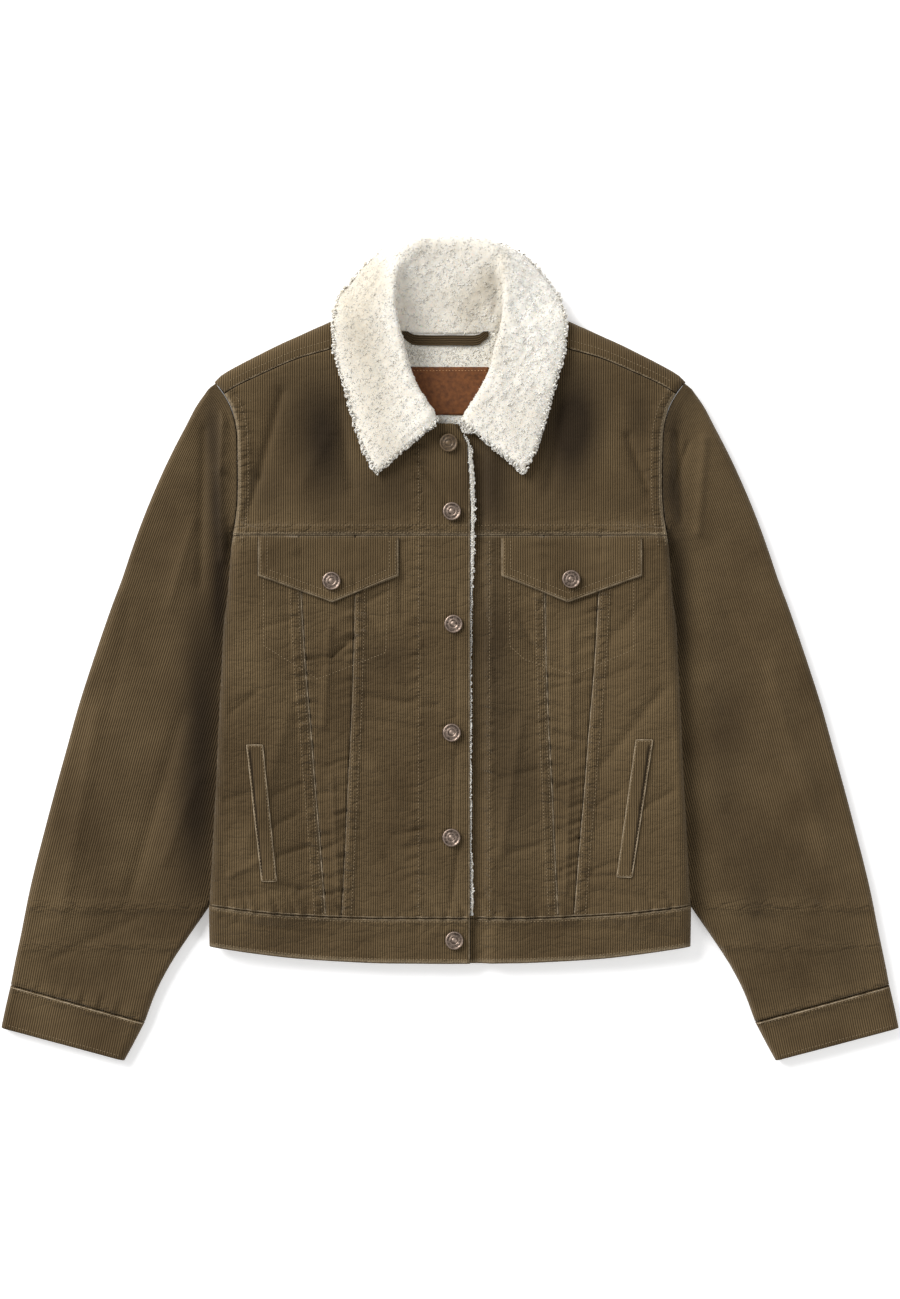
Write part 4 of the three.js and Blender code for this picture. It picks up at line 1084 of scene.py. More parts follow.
@dataclass
class Fronts:
    """Both fronts: yoke, centre panel, tapered insert and side panel on each side."""

    looks: Looks
    made: list[str] = field(default_factory=list)

    def build(self) -> None:
        """Make every panel of the fronts."""
        half = SEAM_GAP / 2
        for side in Side:
            over = side is Side.RIGHT
            cloth = over_cloth if over else under_cloth
            edge = -OVERLAP_X if over else -UNDERLAP_X
            self._lower(side, "front_centre", lambda y: 0 * y + edge,
                        lambda y: insert_inner(y) - half, cloth, 56)
            self._lower(side, "front_insert", lambda y: insert_inner(y) + half,
                        lambda y: insert_outer(y) - half, body_cloth, 22)
            self._lower(side, "front_side", lambda y: insert_outer(y) + half,
                        lambda y: side_edge(y) - half, body_cloth, 46, True)
            self._yoke(side, YOKE_OVER if over else YOKE_UNDER, cloth)

    def _lower(self, side: Side, stem: str, inner: Callable, outer: Callable, cloth: Cloth, columns: int,
               folded: bool = False) -> None:
        """Make one panel between the yoke and the waistband."""
        way = side.value
        top = YOKE_SEAM_Y - SEAM_GAP / 2

        def path(u: Array, v: Array) -> tuple[Array, Array]:
            """Return places of the panel in plan."""
            level = mix(LOW_SEAM_Y, YOKE_SEAM_Y, v)
            guess = mix(inner(level), outer(level), u)
            y = mix(waist_seam(np.abs(guess)) + SEAM_GAP / 2, top, v)
            return way * mix(inner(y), outer(y), u), y

        roll = (lambda v: ramp(ARM_JOINS_Y, ARM_FREE_Y, mix(LOW_SEAM_Y, YOKE_SEAM_Y, v))) if folded else None
        wall = Wall(path, 190, columns, 1, cloth, Surface.front_relief, None, roll)
        name = f"{stem}_{side.word}_cloth"
        Piece.panel(name, wall, self.looks, f"{stem}_{side.word}", True)
        self.made.append(name)

    def _yoke(self, side: Side, edge: Sequence[tuple[float, float]], cloth: Cloth) -> None:
        """Make the yoke of one front."""
        way, half = side.value, SEAM_GAP / 2
        last = len(edge) - 1
        top_y, end_x, end_y = SHOULDER_SEAM_TOP[1], *SHOULDER_SEAM_END

        def path(u: Array, v: Array) -> tuple[Array, Array]:
            """Return places of the yoke in plan."""
            in_x, in_y = (np.interp(v * last, np.arange(last + 1), column) for column in zip(*edge))
            in_y = in_y + half * (1 - v) - half * v
            out_y = mix(YOKE_SEAM_Y + half, end_y - half, v)
            out_x = side_edge(out_y) - half
            bow = shoulder_seam(mix(SHOULDER_SEAM_TOP[0], end_x, u)) - mix(top_y, end_y, u)
            return way * mix(in_x, out_x, u), mix(in_y, out_y, u) + bow * v

        wall = Wall(path, 88, 100, 1, cloth, Surface.front_relief)
        name = f"front_yoke_{side.word}_cloth"
        Piece.panel(name, wall, self.looks, f"front_yoke_{side.word}", True)
        self.made.append(name)


@dataclass
class Back:
    """The back: a panel below, a yoke above that comes over the shoulders."""

    looks: Looks
    yoke_flat: tuple[float, float] = (0.46, 0.235)
    fold_x: float = 97
    top_x: float = 220.4
    top_y: float = 250.3

    def build(self) -> None:
        """Make the back panel and the back yoke."""
        half = SEAM_GAP / 2

        def path(u: Array, v: Array) -> tuple[Array, Array]:
            """Return places of the back panel in plan."""
            level = mix(LOW_SEAM_Y, BACK_SEAM_Y, v)
            share = 2 * u - 1
            guess = np.abs(share) * side_edge(level)
            y = mix(waist_seam(guess) + half, BACK_SEAM_Y - half, v)
            return share * (side_edge(y) - half), y

        def roll(v: Array) -> Array:
            """Return how far the sides fold up."""
            return ramp(ARM_JOINS_Y, ARM_FREE_Y, mix(LOW_SEAM_Y, BACK_SEAM_Y, v))

        wall = Wall(path, 50, 60, -1, body_cloth, Surface.none, roll, roll)
        Piece.panel("back_panel_cloth", wall, self.looks, "back_panel")
        self._yoke()

    def _yoke(self) -> None:
        """Make the back yoke with its strips over the shoulders."""
        plate, shared = self._plate()
        points, faces, uvs, linings = [], [], [], []

        def add(outer: Array, inner: Array, uv: Array) -> None:
            """Add one closed wall to the piece."""
            rows, columns = outer.shape[:2]
            base = len(points)
            points.extend(outer.reshape(-1, 3).tolist() + inner.reshape(-1, 3).tolist())
            uvs.extend(uv.reshape(-1, 2).tolist() * 2)
            linings.extend([0.0] * (rows * columns) + [1.0] * (rows * columns))
            new = MeshKit.outward(outer, outer[1, 1] - inner[1, 1])
            faces.extend(tuple(base + i for i in face) for face in new)

        add(*plate)
        for strip in shared:
            add(*strip)
        places = np.array(points)
        # Painted shade and painted light on the yoke and its shoulder strips.
        piece = MeshKit.object_of("back_yoke_cloth", places, faces, np.array(uvs),
                                  {"wear": np.zeros(len(points)), "lining": np.array(linings),
                                   "painted_light_and_shade": Surface.painted_light_and_shade(places[:, 0], places[:, 1])})
        Piece.settle(piece, "corduroy", self.looks.corduroy, "back_yoke")
        area = sum(MeshKit.sheet_facts(part[0])[1] for part in [plate, *shared])

    def _plate(self) -> tuple[tuple[Array, Array, Array], list[tuple[Array, Array, Array]]]:
        """Return the flat plate of the yoke and its two shoulder strips."""
        half, radius, fold_x = SEAM_GAP / 2, BODY_HEIGHT / 2, self.fold_x
        reach = self.top_x - half
        xs = np.unique(np.concatenate([np.linspace(0, fold_x, 17), np.linspace(fold_x, reach, 22)]))
        xs = np.concatenate([-xs[:0:-1], xs])
        out = np.abs(xs)
        top = back_top(out) - np.where(out < fold_x, half, 0)
        share = out / reach
        low = BACK_SEAM_Y + half
        levels = np.linspace(0, 1, 15)[:-1]
        angles = np.linspace(0, math.pi / 2, 6)
        roll = (out >= fold_x).astype(float)

        def place(y: Array, z: Array) -> Array:
            """Return points of the plate in millimetres."""
            wide = share * (side_edge(np.minimum(y, self.top_y)) - half)
            held = wide + (out - share * reach) * ramp(0, 1, (y - low) / (top - low))
            x = np.sign(xs) * held
            return np.stack([x, y, z + lift(x, y)], -1)

        flat_y = low + (top - radius - low) * levels[:, None]
        drop = roll * (1 - np.cos(angles))[:, None]
        arc_y = top - radius * (1 - np.sin(angles))[:, None]
        inset = roll * BODY_WALL
        in_y = top - inset - (radius - inset) * (1 - np.sin(angles))[:, None]
        outer = np.concatenate([place(flat_y, 0 * flat_y), place(arc_y, radius * drop)])
        inner = np.concatenate([place(flat_y, 0 * flat_y + BODY_WALL),
                                place(in_y, BODY_WALL + (radius - BODY_WALL) * drop)])
        plate = (outer, inner, outer[..., :2] * MM)
        strips = []
        for way in (-1, 1):
            pick = [i for i in range(len(xs)) if xs[i] * way >= fold_x - 0.1]
            strips.append(self._strip(way, xs[pick], top[pick]))
        return plate, strips

    def _strip(self, way: int, xs: Array, top: Array) -> tuple[Array, Array, Array]:
        """Return the strip of the yoke that comes over one shoulder."""
        radius = BODY_HEIGHT / 2
        order = np.argsort(np.abs(xs))
        xs, top = xs[order], top[order]
        share = (np.abs(xs) - self.fold_x) / (self.top_x - SEAM_GAP / 2 - self.fold_x)
        seam_x = mix(SHOULDER_SEAM_TOP[0], SHOULDER_SEAM_END[0] - SEAM_GAP / 2, share)
        seam_y = shoulder_seam(seam_x) + 2 * SEAM_GAP
        angles = np.linspace(math.pi / 2, 0, 7)
        rise = (1 - np.cos(angles))[:, None]
        outer_y = top - radius * (1 - np.sin(angles))[:, None]
        inner_y = top - BODY_WALL - (radius - BODY_WALL) * (1 - np.sin(angles))[:, None]
        levels = np.linspace(0, 1, 8)[1:, None]
        flat_y = mix((top - radius), seam_y, levels)
        outer_z = np.concatenate([BODY_HEIGHT - radius * rise + 0 * outer_y, 0 * flat_y + BODY_HEIGHT])
        inner_z = np.concatenate([BODY_HEIGHT - BODY_WALL - (radius - BODY_WALL) * rise + 0 * inner_y,
                                  0 * flat_y + BODY_HEIGHT - BODY_WALL])

        def place(y: Array, z: Array) -> Array:
            """Return points of the strip in millimetres."""
            bend = ramp(0, 1, (top - y) / (top - seam_y))
            return np.stack([mix(xs, way * seam_x, bend), y, z], -1)

        outer = place(np.concatenate([outer_y, flat_y]), outer_z)
        inner = place(np.concatenate([inner_y, flat_y]), inner_z)
        outer[..., 2] += 0.3 * np.sin(outer[..., 0] / 9) * ramp(0, 6, outer_z - 9)
        outer[..., 2] -= np.linspace(0, 1, outer.shape[0])[:, None] ** 12 * 0.9
        return outer, inner, outer[..., :2] * MM


@dataclass
class Waistband:
    """The waistband: one part under each front and one behind."""

    looks: Looks

    def build(self) -> None:
        """Make the three parts of the waistband."""
        edge = float(side_edge(-260))
        self._part("right", -1, -OVERLAP_X, edge, 1, waist_cloth(over_cloth), 84)
        self._part("left", 1, -UNDERLAP_X, edge, 1, waist_cloth(under_cloth), 84)
        self._part("back", 1, -edge, edge, -1, waist_cloth(body_cloth), 70)

    def _part(self, word: str, way: int, low: float, high: float, layer: int, cloth: Cloth, columns: int) -> None:
        """Make one part between two distances from the centre."""
        def path(u: Array, v: Array) -> tuple[Array, Array]:
            """Return places of the waistband in plan."""
            x = mix(low, high, u) + 0 * v
            out = np.abs(x)
            return way * x, mix(hem_line(out), waist_seam(out) - SEAM_GAP / 2, v)

        start = full_fold if word == "back" else None
        relief = Surface.front_relief if layer > 0 else Surface.none
        wall = Wall(path, 18 if layer > 0 else 6, columns, layer, cloth, relief, start, full_fold)
        Piece.panel(f"waistband_{word}_cloth", wall, self.looks, f"waistband_{word}", layer > 0)


@dataclass
class Sleeves:
    """Both sleeves with their cuffs, each as a wall above and a wall below."""

    looks: Looks

    def build(self) -> None:
        """Make the sleeves and the cuffs."""
        for side in Side:
            self._tube(side, "sleeve_top", SLEEVE_ROWS, 1, sleeve_cloth, 210, 48)
            self._tube(side, "sleeve_under", SLEEVE_ROWS, -1, sleeve_cloth, 60, 16)
            self._tube(side, "cuff_top", CUFF_ROWS, 1, cuff_cloth, 16, 34)
            self._tube(side, "cuff_under", CUFF_ROWS, -1, cuff_cloth, 5, 16)

    def _tube(self, side: Side, stem: str, table: Sequence[Sequence[float]], layer: int, cloth: Cloth,
              rows: int, columns: int) -> None:
        """Make one wall of a sleeve or cuff."""
        way, last = side.value, len(table) - 1
        lines = [column_curve(table, k) for k in range(5)]

        def path(u: Array, v: Array) -> tuple[Array, Array]:
            """Return places of the wall in plan."""
            k = v * last
            closing = (1 - lines[4](k)) * 0.25
            x = mix(lines[0](k), lines[2](k), u) + closing * (1 - u)
            return way * x, mix(lines[1](k), lines[3](k), u)

        def inner_roll(v: Array) -> Array:
            """Return how far the inner edge folds."""
            return lines[4](v * last)

        relief = Surface.sleeve_relief if layer > 0 else Surface.none
        wall = Wall(path, rows, columns, layer, cloth, relief, inner_roll, full_fold, False, 5, True)
        Piece.panel(f"{stem}_{side.word}_cloth", wall, self.looks, f"{stem}_{side.word}")


@dataclass
class Pile:
    """Small curls of sherpa pile, scattered over a surface."""

    seed: int
    size: float = 1.0
    thick: float = 0.6
    bend: float = 3.7
    taper: tuple[float, ...] = (0.8, 1.15, 1.1, 0.5)
    lowest: float = 0.2

    def scatter(self, name: str, places: Array, normals: Array, looks: Looks) -> None:
        """Make one piece of curls.

        Args:
            name: Name of the piece.
            places: Root of each curl in millimetres.
            normals: Direction away from the cloth at each root.
            looks: Finishes of the jacket.
        """
        rng = np.random.default_rng(self.seed)
        count = len(places)
        rings, sides = 4, 3
        turn = np.linspace(-0.35, self.bend, rings)
        round_ = np.arange(sides) * 2 * math.pi / sides
        local = []
        for angle, scale in zip(turn, self.taper):
            for around in round_:
                reach = self.size + self.thick * scale * math.cos(around)
                local.append((-math.cos(angle) * reach, self.thick * scale * math.sin(around),
                              math.sin(angle) * reach * 0.9))
        local = np.array(local)
        normals = unit(unit(normals) + rng.normal(0, 0.42, (count, 3)))
        one = unit(np.cross(normals, rng.normal(0, 1, (count, 3))))
        two = np.cross(normals, one)
        grow = rng.uniform(0.65, 1.3, (count, 1, 1))
        frame = np.stack([one, two, normals], axis=1)
        points = places[:, None, :] + np.einsum("pk,nkd->npd", local, frame) * grow
        points[..., 2] = np.maximum(points[..., 2], self.lowest)
        faces = np.array(MeshKit.tube_faces(rings, sides))
        faces = (faces[None] + (np.arange(count) * len(local))[:, None, None]).reshape(-1, 4)
        dim = np.repeat(Surface.dim(places[:, 0], places[:, 1]), len(local))
        piece = MeshKit.object_of(name, points.reshape(-1, 3), faces.tolist(), shades={"dim": dim})
        Piece.settle(piece, "sherpa", looks.sherpa)

    def over_grid(self, name: str, grid: Array, normals: Array, count: int, looks: Looks,
                  sink: float = 0.95) -> None:
        """Scatter curls evenly over a grid of points."""
        rng = np.random.default_rng(self.seed + 100)
        one, two = grid[:-1, 1:] - grid[:-1, :-1], grid[1:, :-1] - grid[:-1, :-1]
        area = np.linalg.norm(np.cross(one, two), axis=2)
        pick = rng.choice(area.size, count, p=(area / area.sum()).ravel())
        r, c = np.unravel_index(pick, area.shape)
        a, b = rng.uniform(0, 1, (2, count, 1))
        places = grid[r, c] + a * one[r, c] + b * two[r, c]
        self.scatter(name, places - normals[r, c] * sink, normals[r, c], looks)


def grid_normals(grid: Array) -> Array:
    """Return the normals of a grid of points."""
    across, along = np.gradient(grid, axis=1), np.gradient(grid, axis=0)
    return unit(np.cross(across, along))


@dataclass
class Collar:
    """The sherpa collar: a stand that rises from the neck, a roll and a fall."""

    looks: Looks
    wall: float = 8.0
    rows: int = 190
    columns: int = 64
    curls: int = 6900
    free_from: int = 22
    tufts_per_mm: float = 2.9

    def middle(self) -> Array:
        """Return the middle of the collar's wall as a grid of points."""
        mirror = (-1, 1, 1, -1, 1, 1, -1, 1, 1)
        half = [tuple(np.multiply(row, mirror)) for row in COLLAR_ROWS]
        table = half + list(reversed(COLLAR_ROWS[:-1]))
        k = np.linspace(0, len(table) - 1, self.rows)
        columns = [column_curve(table, i)(k) for i in range(9)]
        neck, roll, edge = (np.stack(columns[i:i + 3], -1) for i in (0, 3, 6))
        free = ramp(350, 322, edge[:, 1])
        edge[:, 0] += free * np.where(edge[:, 0] < 0, -3.2, 2.0)
        stand = mix(neck, roll, 0.5)
        fall = mix(roll, edge, 0.4)
        fall[:, 2] += 0.1 * (roll[:, 2] - edge[:, 2])
        return self._spline([neck, stand, roll, fall, edge], np.linspace(0, 1, self.columns))

    @staticmethod
    def _spline(knots: list[Array], shares: Array) -> Array:
        """Return a smooth line through five points of every section."""
        ends = [2 * knots[0] - knots[1], *knots, 2 * knots[-1] - knots[-2]]
        rows = []
        for share in shares:
            at = share * (len(knots) - 1)
            i = min(int(at), len(knots) - 2)
            t = at - i
            p0, p1, p2, p3 = ends[i:i + 4]
            gaps = [np.maximum(np.linalg.norm(b - a, axis=1, keepdims=True) ** 0.5, 1e-4)
                    for a, b in ((p0, p1), (p1, p2), (p2, p3))]
            m1 = ((p1 - p0) / gaps[0] - (p2 - p0) / (gaps[0] + gaps[1]) + (p2 - p1) / gaps[1]) * gaps[1]
            m2 = ((p2 - p1) / gaps[1] - (p3 - p1) / (gaps[1] + gaps[2]) + (p3 - p2) / gaps[2]) * gaps[1]
            rows.append(p1 + m1 * t + (-3 * p1 + 3 * p2 - 2 * m1 - m2) * t ** 2
                        + (2 * p1 - 2 * p2 + m1 + m2) * t ** 3)
        return np.stack(rows, axis=1)

    def build(self) -> None:
        """Make the collar and its curls."""
        middle = self.middle()
        normal = grid_normals(middle)
        if normal[20, -14, 2] < 0:
            normal = -normal
        rng = np.random.default_rng(7)
        r, c = np.mgrid[0:self.rows, 0:self.columns]
        x, y = middle[..., 0], middle[..., 1]
        lumps = 0.5 * np.sin(x / 2.3 + 1.3 * np.sin(y / 5)) * np.sin(y / 2.6 + 1.1 * np.sin(x / 4.4))
        lumps = lumps + 0.5 * np.sin(x / 7.1 + y / 9.3) * np.sin(c / 3.1 + 0.7) + rng.normal(0, 0.12, x.shape)
        dents = -2.2 * bell(x - 44, 4.5) * ramp(306, 326, y) * ramp(374, 360, y)
        dents -= 1.4 * bell(x + 49, 5.0) * ramp(300, 320, y) * ramp(366, 350, y)
        rim = np.minimum(np.minimum(r, self.rows - 1 - r) / 5, (self.columns - 1 - c) / 4)
        thick = self.wall / 2 * (0.55 + 0.45 * np.sqrt(np.clip(rim, 0, 1)))
        outer = middle + normal * (thick + lumps + dents)[..., None]
        inner = middle - normal * thick[..., None]
        uv = np.stack([c * 1.9, r * 2.9], -1) * MM
        piece = MeshKit.pile_shell("collar_sherpa", outer, inner, uv)
        Piece.settle(piece, "sherpa", self.looks.sherpa, "collar")
        flat, area = MeshKit.sheet_facts(middle)
        half = self.rows // 2
        right, left = slice(half + 2), slice(half, None)
        Pile(11).over_grid("collar_curls_right", outer[right], normal[right], self.curls, self.looks)
        Pile(12).over_grid("collar_curls_left", outer[left], normal[left], self.curls, self.looks)
        self._edge_curls(middle, normal)

    def _edge_curls(self, middle: Array, normal: Array) -> None:
        """Add the ragged curls of the free edges."""
        rng = np.random.default_rng(21)
        free = slice(self.free_from, None)
        lines = [(middle[:, -1], middle[:, -1] - middle[:, -2], normal[:, -1]),
                 (middle[0, free], middle[0, free] - middle[1, free], normal[0, free]),
                 (middle[-1, free], middle[-1, free] - middle[-2, free], normal[-1, free])]
        places, ways = [], []
        for line, out, up in lines:
            out = unit(out)
            total = distances(line)
            count = int(total[-1] * self.tufts_per_mm)
            at = rng.uniform(0, total[-1], count)
            pick = np.clip(np.searchsorted(total, at), 0, len(line) - 1)
            rise = rng.uniform(-2.2, 3.2, (count, 1))
            reach = rng.uniform(-1.0, 0.8, (count, 1))
            places.append(line[pick] + up[pick] * rise + out[pick] * reach)
            ways.append(out[pick] + up[pick] * 0.35)
        tufts = Pile(13, 2.1, 0.8, 1.45, (1.25, 1.15, 0.8, 0.25))
        tufts.scatter("collar_edge_curls", np.concatenate(places), np.concatenate(ways), self.looks)


@dataclass
class Neck:
    """What shows inside the neck: pile lining, blank leather label and hanger loop."""

    looks: Looks
    label: tuple[float, float, float, float] = (-39.7, 36, 219.5, 264.4)
    loop_half: float = 4.8

    def build(self) -> None:
        """Make the pieces inside the neck."""
        self._lining()
        self._label()
        self._loop()

    def _lining(self) -> None:
        """Make the pile lining of the back of the neck."""
        u, v = np.meshgrid(np.linspace(-62, 62, 60), np.linspace(0, 1, 46))
        y = mix(203, back_top(np.abs(u)) + 2.6, v)
        lumps = 0.3 * np.sin(u / 2.1 + np.sin(y / 4)) * np.sin(y / 2.4 + np.sin(u / 5))
        outer = np.stack([u, y, 8.8 + lumps * 0.6], -1)
        inner = np.stack([u, y, 0 * u + 7.8], -1)
        piece = MeshKit.pile_shell("neck_lining_sherpa", outer, inner)
        Piece.settle(piece, "sherpa", self.looks.sherpa, "neck_lining")
        flat, area = MeshKit.sheet_facts(outer)
        normal = np.zeros_like(outer)
        normal[..., 2] = 1
        Pile(31, 0.95, 0.4).over_grid("neck_lining_curls", outer[31:], normal[31:], 1250, self.looks, 0.4)
        Pile(32, 0.95, 0.4).over_grid("neck_lining_low_curls", outer[:9], normal[:9], 600, self.looks, 0.3)

    def _label(self) -> None:
        """Make the leather label, left blank, with its stitches."""
        left, right, low, high = self.label
        u, v = np.meshgrid(np.linspace(left, right, 44), np.linspace(low, high, 26))
        bow = 0.5 * np.sin(u / 19) + 0.25 * np.sin(v / 7)
        edge = np.minimum(np.minimum(u - left, right - u), np.minimum(v - low, high - v))
        top = 10.3 + 0.4 * bow * ramp(0, 9, edge) - 0.35 * ramp(1.2, 0, edge)
        outer = np.stack([u, v, top], -1)
        inner = np.stack([u, v, 0 * u + 9.1], -1)
        piece = MeshKit.shell("neck_label_leather", outer, inner, outer[..., :2] * MM)
        Piece.settle(piece, "label_leather", self.looks.leather, "neck_label")
        sewing = Stitcher(Heights(["neck_label_leather"]))
        sewing.sew(StitchRow(((-37.5, 221.5), (-37.5, 261), (33.8, 261), (33.8, 221.5)), 3.0, 2.2, 0.75))
        sewing.finish("neck_label_stitches", self.looks.label_thread, "label_leather")

    def _loop(self) -> None:
        """Make the corduroy hanger loop."""
        line = np.array([
            (-44.5, 297.4), (-41.5, 294.6), (-38.2, 291.8), (-34.8, 290.0), (-29, 289.3), (-15, 289.1), (0, 289.3),
            (14, 289.1), (23, 289.2), (27.5, 290.2), (30.4, 292.2), (33.4, 294.8), (36, 297.4)])
        k = np.linspace(0, len(line) - 1, 90)
        x, y = (np.interp(k, np.arange(len(line)), line[:, i]) for i in (0, 1))
        w = np.linspace(-self.loop_half, self.loop_half, 16)
        u, x2 = np.meshgrid(w, x)
        _, y2 = np.meshgrid(w, y)
        crown = 11.3 - 0.35 * (np.abs(u) / self.loop_half) ** 4 + 0.12 * np.sin(x2 / 6) + 0.22 * np.cos(u * 2.9)
        held = np.minimum(y2 + u, 297.6)
        outer = np.stack([x2, held, crown], -1)
        inner = np.stack([x2, held, 0 * u + 9.2], -1)
        uv = np.stack([u, x2], -1) * MM
        # The loop's colour is darkened through the painted shade value.
        piece = MeshKit.shell("hanger_loop_cloth", outer, inner, uv, extra={"painted_light_and_shade": 0 * u + 0.27})
        Piece.settle(piece, "corduroy", self.looks.corduroy, "hanger_loop")


@dataclass
class FrontPile:
    """The edge of the pile lining that shows beside the front edge."""

    looks: Looks

    def build(self) -> None:
        """Make the strip and its curls."""
        x = np.array([6, 12, 16.5, 18.6, 19.2, 20.2, 21.2, 22.2, 22.9])
        z = np.array([15.1, 15.1, 15.1, 15.2, 16.3, 16.8, 16.6, 16.0, 14.2])
        y = np.linspace(-248.5, 197, 330)
        wide = self.width(y) / 4.6
        sway = (wide - 1)[:, None] * np.clip(x - 18.4, 0, None)
        tufts = 0.35 * np.sin(y / 0.9) + 0.3 * np.sin(y / 2.1 + 1)
        xs = x + sway + (0.4 + 0.6 * wide[:, None]) * tufts[:, None] * (x > 20)
        xs -= 9 * (ramp(150, 197, y) ** 2)[:, None] * (x > 15) * 0.45
        outer = np.stack([xs, y[:, None] + 0 * xs, z + 0 * xs], -1)
        inner = np.stack([xs, y[:, None] + 0 * xs, 12.6 + 0 * xs], -1)
        piece = MeshKit.pile_shell("front_edge_sherpa", outer, inner)
        Piece.settle(piece, "sherpa", self.looks.sherpa, "front_edge_pile")
        rng = np.random.default_rng(41)
        count = 2600
        at = rng.uniform(-248, 200, count)
        at = at[rng.uniform(0, 1, count) < 0.12 + self.width(at) / 5.2]
        edge = np.interp(at, [-250, 106, 134, 167, 193, 204], [18.7, 19.2, 19.8, 17.4, 16.2, 10])
        clumps = 0.55 + 0.45 * np.sin(at / 1.7 + 2 * np.sin(at / 5.3))
        reach = self.width(at) * (0.35 + 0.65 * clumps)
        out = edge + 0.2 + rng.uniform(0, 1, len(at)) * reach
        places = np.stack([out, at, rng.uniform(15.6, 17.6, len(at))], -1)
        ways = np.stack([0.8 + 0 * at, 0 * at, 0.7 + 0 * at], -1)
        tufts = 260
        across, rise = rng.uniform(0, 1, (2, tufts))
        corner = np.stack([mix(7.5, 15.5, across) + 5 * (1 - rise), mix(202, 213, rise),
                           rng.uniform(18.2, 19.4, tufts)], -1)
        places = np.concatenate([places, corner])
        ways = np.concatenate([ways, np.tile((0.1, 0.0, 1.0), (tufts, 1))])
        Pile(42, 0.8, 0.4).scatter("front_edge_curls", places, ways, self.looks)

    @staticmethod
    def width(y: Array) -> Array:
        """Return how far the pile stands out beyond the front edge."""
        return np.interp(y, [-248, -236, -204, -186, -120, -20, 30, 62, 84, 140, 186, 200],
                         [3.2, 3.6, 3.0, 1.3, 0.9, 1.0, 1.2, 2.4, 4.2, 4.8, 4.4, 2.2])


@dataclass
class Pockets:
    """Chest flaps and the welts of the hand pockets."""

    looks: Looks
    fronts: list[str]
    flap_top: float = 104.4
    welt_wide: float = 15.0
    welt_long: float = 128

    def build(self) -> None:
        """Make both flaps and both welts."""
        ground = Heights(self.fronts)
        for side in Side:
            self._flap(side, ground)
            self._welt(side, ground)

    def _flap(self, side: Side, ground: Heights) -> None:
        """Make one pointed flap with a topstitched edge."""
        way = side.value
        share = np.linspace(0, 1, 52)
        x = mix(48.0, 178.6, share)
        bottom = np.interp(x, [47, 52, 110, 174, 179.5], [69.2, 67.0, 43.9, 66.8, 68.9])
        v = np.linspace(0, 1, 30)[:, None]
        y = mix(bottom, self.flap_top, v)
        xs = way * np.broadcast_to(x, y.shape)
        base = self._between(ground.over(xs[::3], y[::3]), len(y))
        for _ in range(3):
            wide = np.pad(base, 1, "edge")
            base = np.maximum(base, (wide[1:-1, :-2] + wide[1:-1, 2:] + wide[:-2, 1:-1] + wide[2:, 1:-1]) / 4)
        low = base + 0.6
        edge = np.minimum((y - bottom) * 0.92, np.minimum(x - 47.8, 178.8 - x))
        thick = 2.4 - 1.5 * bell(edge, 0.9) - 0.45 * bell(edge - 8.2, 1.4)
        thick -= 0.3 * bell(edge - 2.6, 1.2)
        thick += 0.35 * pucker(x + y, edge - 6, 15, 8, 0.3, 1.1 + way)
        curl = 1.3 * np.exp(-((x - 110) ** 2 + (y - 46) ** 2) / 260) + 0.6 * bell(edge, 5)
        thick -= 0.9 * bell(y - self.flap_top, 2.2)
        outer = np.stack([xs, y, low + thick + curl], -1)
        inner = np.stack([xs, y, low], -1)
        wear = 0.65 * bell(edge - 0.4, 1.1) * (0.6 + 0.4 * np.sin(x / 5 + y / 4))
        self._lay(f"pocket_flap_{side.word}", outer, inner, wear)

    def _welt(self, side: Side, ground: Heights) -> None:
        """Make one slanted pocket welt, its mouth grooved and darkened with painted shadow."""
        way = side.value
        low_in, top_in, low_out, top_out, top, low = (
            (161.1, 174, 175.4, 189.6, -88.4, -216.1) if way < 0 else (155, 172.8, 169.7, 189, -83.6, -212.2))
        v = np.linspace(0, 1, 62)[:, None]
        u = np.linspace(0, 1, 16)
        x = way * mix(mix(low_in, top_in, v), mix(low_out, top_out, v), u)
        y = mix(low, top, v) + 0 * u
        base = self._between(ground.over(x[::3, ::3], y[::3, ::3]), x.shape[0])
        base = self._between(base.T, x.shape[1]).T
        across = u * self.welt_wide + 0 * v
        sides = np.minimum(across, self.welt_wide - across)
        mouth = across - mix(13.6, 12.2, v)
        ends = np.minimum(v, 1 - v) * self.welt_long
        thick = 1.6 - 1.1 * bell(mouth, 1.1) * ramp(3, 8, ends)
        thick += 0.45 * pucker(v * self.welt_long, across - 8, 17, 9, 0.3, 0.5 + way)
        thick = thick - 0.8 * bell(sides, 0.8) - 0.8 * bell(ends, 0.9)
        outer = np.stack([x, y, base + 0.5 + thick], -1)
        inner = np.stack([x, y, base + 0.45], -1)
        wear = 0.25 * bell(sides, 0.9)
        # Painted shadow along the mouth of the pocket.
        painted_light_and_shade = 0.5 - 0.5 * np.exp(-(mouth / 1.3) ** 4) * ramp(3, 8, ends)
        self._lay(f"hand_welt_{side.word}", outer, inner, wear, {"painted_light_and_shade": painted_light_and_shade})

    def _lay(self, node: str, outer: Array, inner: Array, wear: Array,
             extra: Optional[dict[str, Array]] = None) -> None:
        """Make one trim that lies on a front."""
        piece = MeshKit.shell(f"{node}_cloth", outer, inner, outer[..., :2] * MM, wear, extra)
        Piece.settle(piece, "corduroy", self.looks.corduroy, node)
        flat, area = MeshKit.sheet_facts(outer)

    @staticmethod
    def _between(base: Array, rows: int) -> Array:
        """Return heights for every row, from those of every third one."""
        order = np.arange(rows)
        return np.stack([np.interp(order, order[::3], column) for column in base.T], 1)


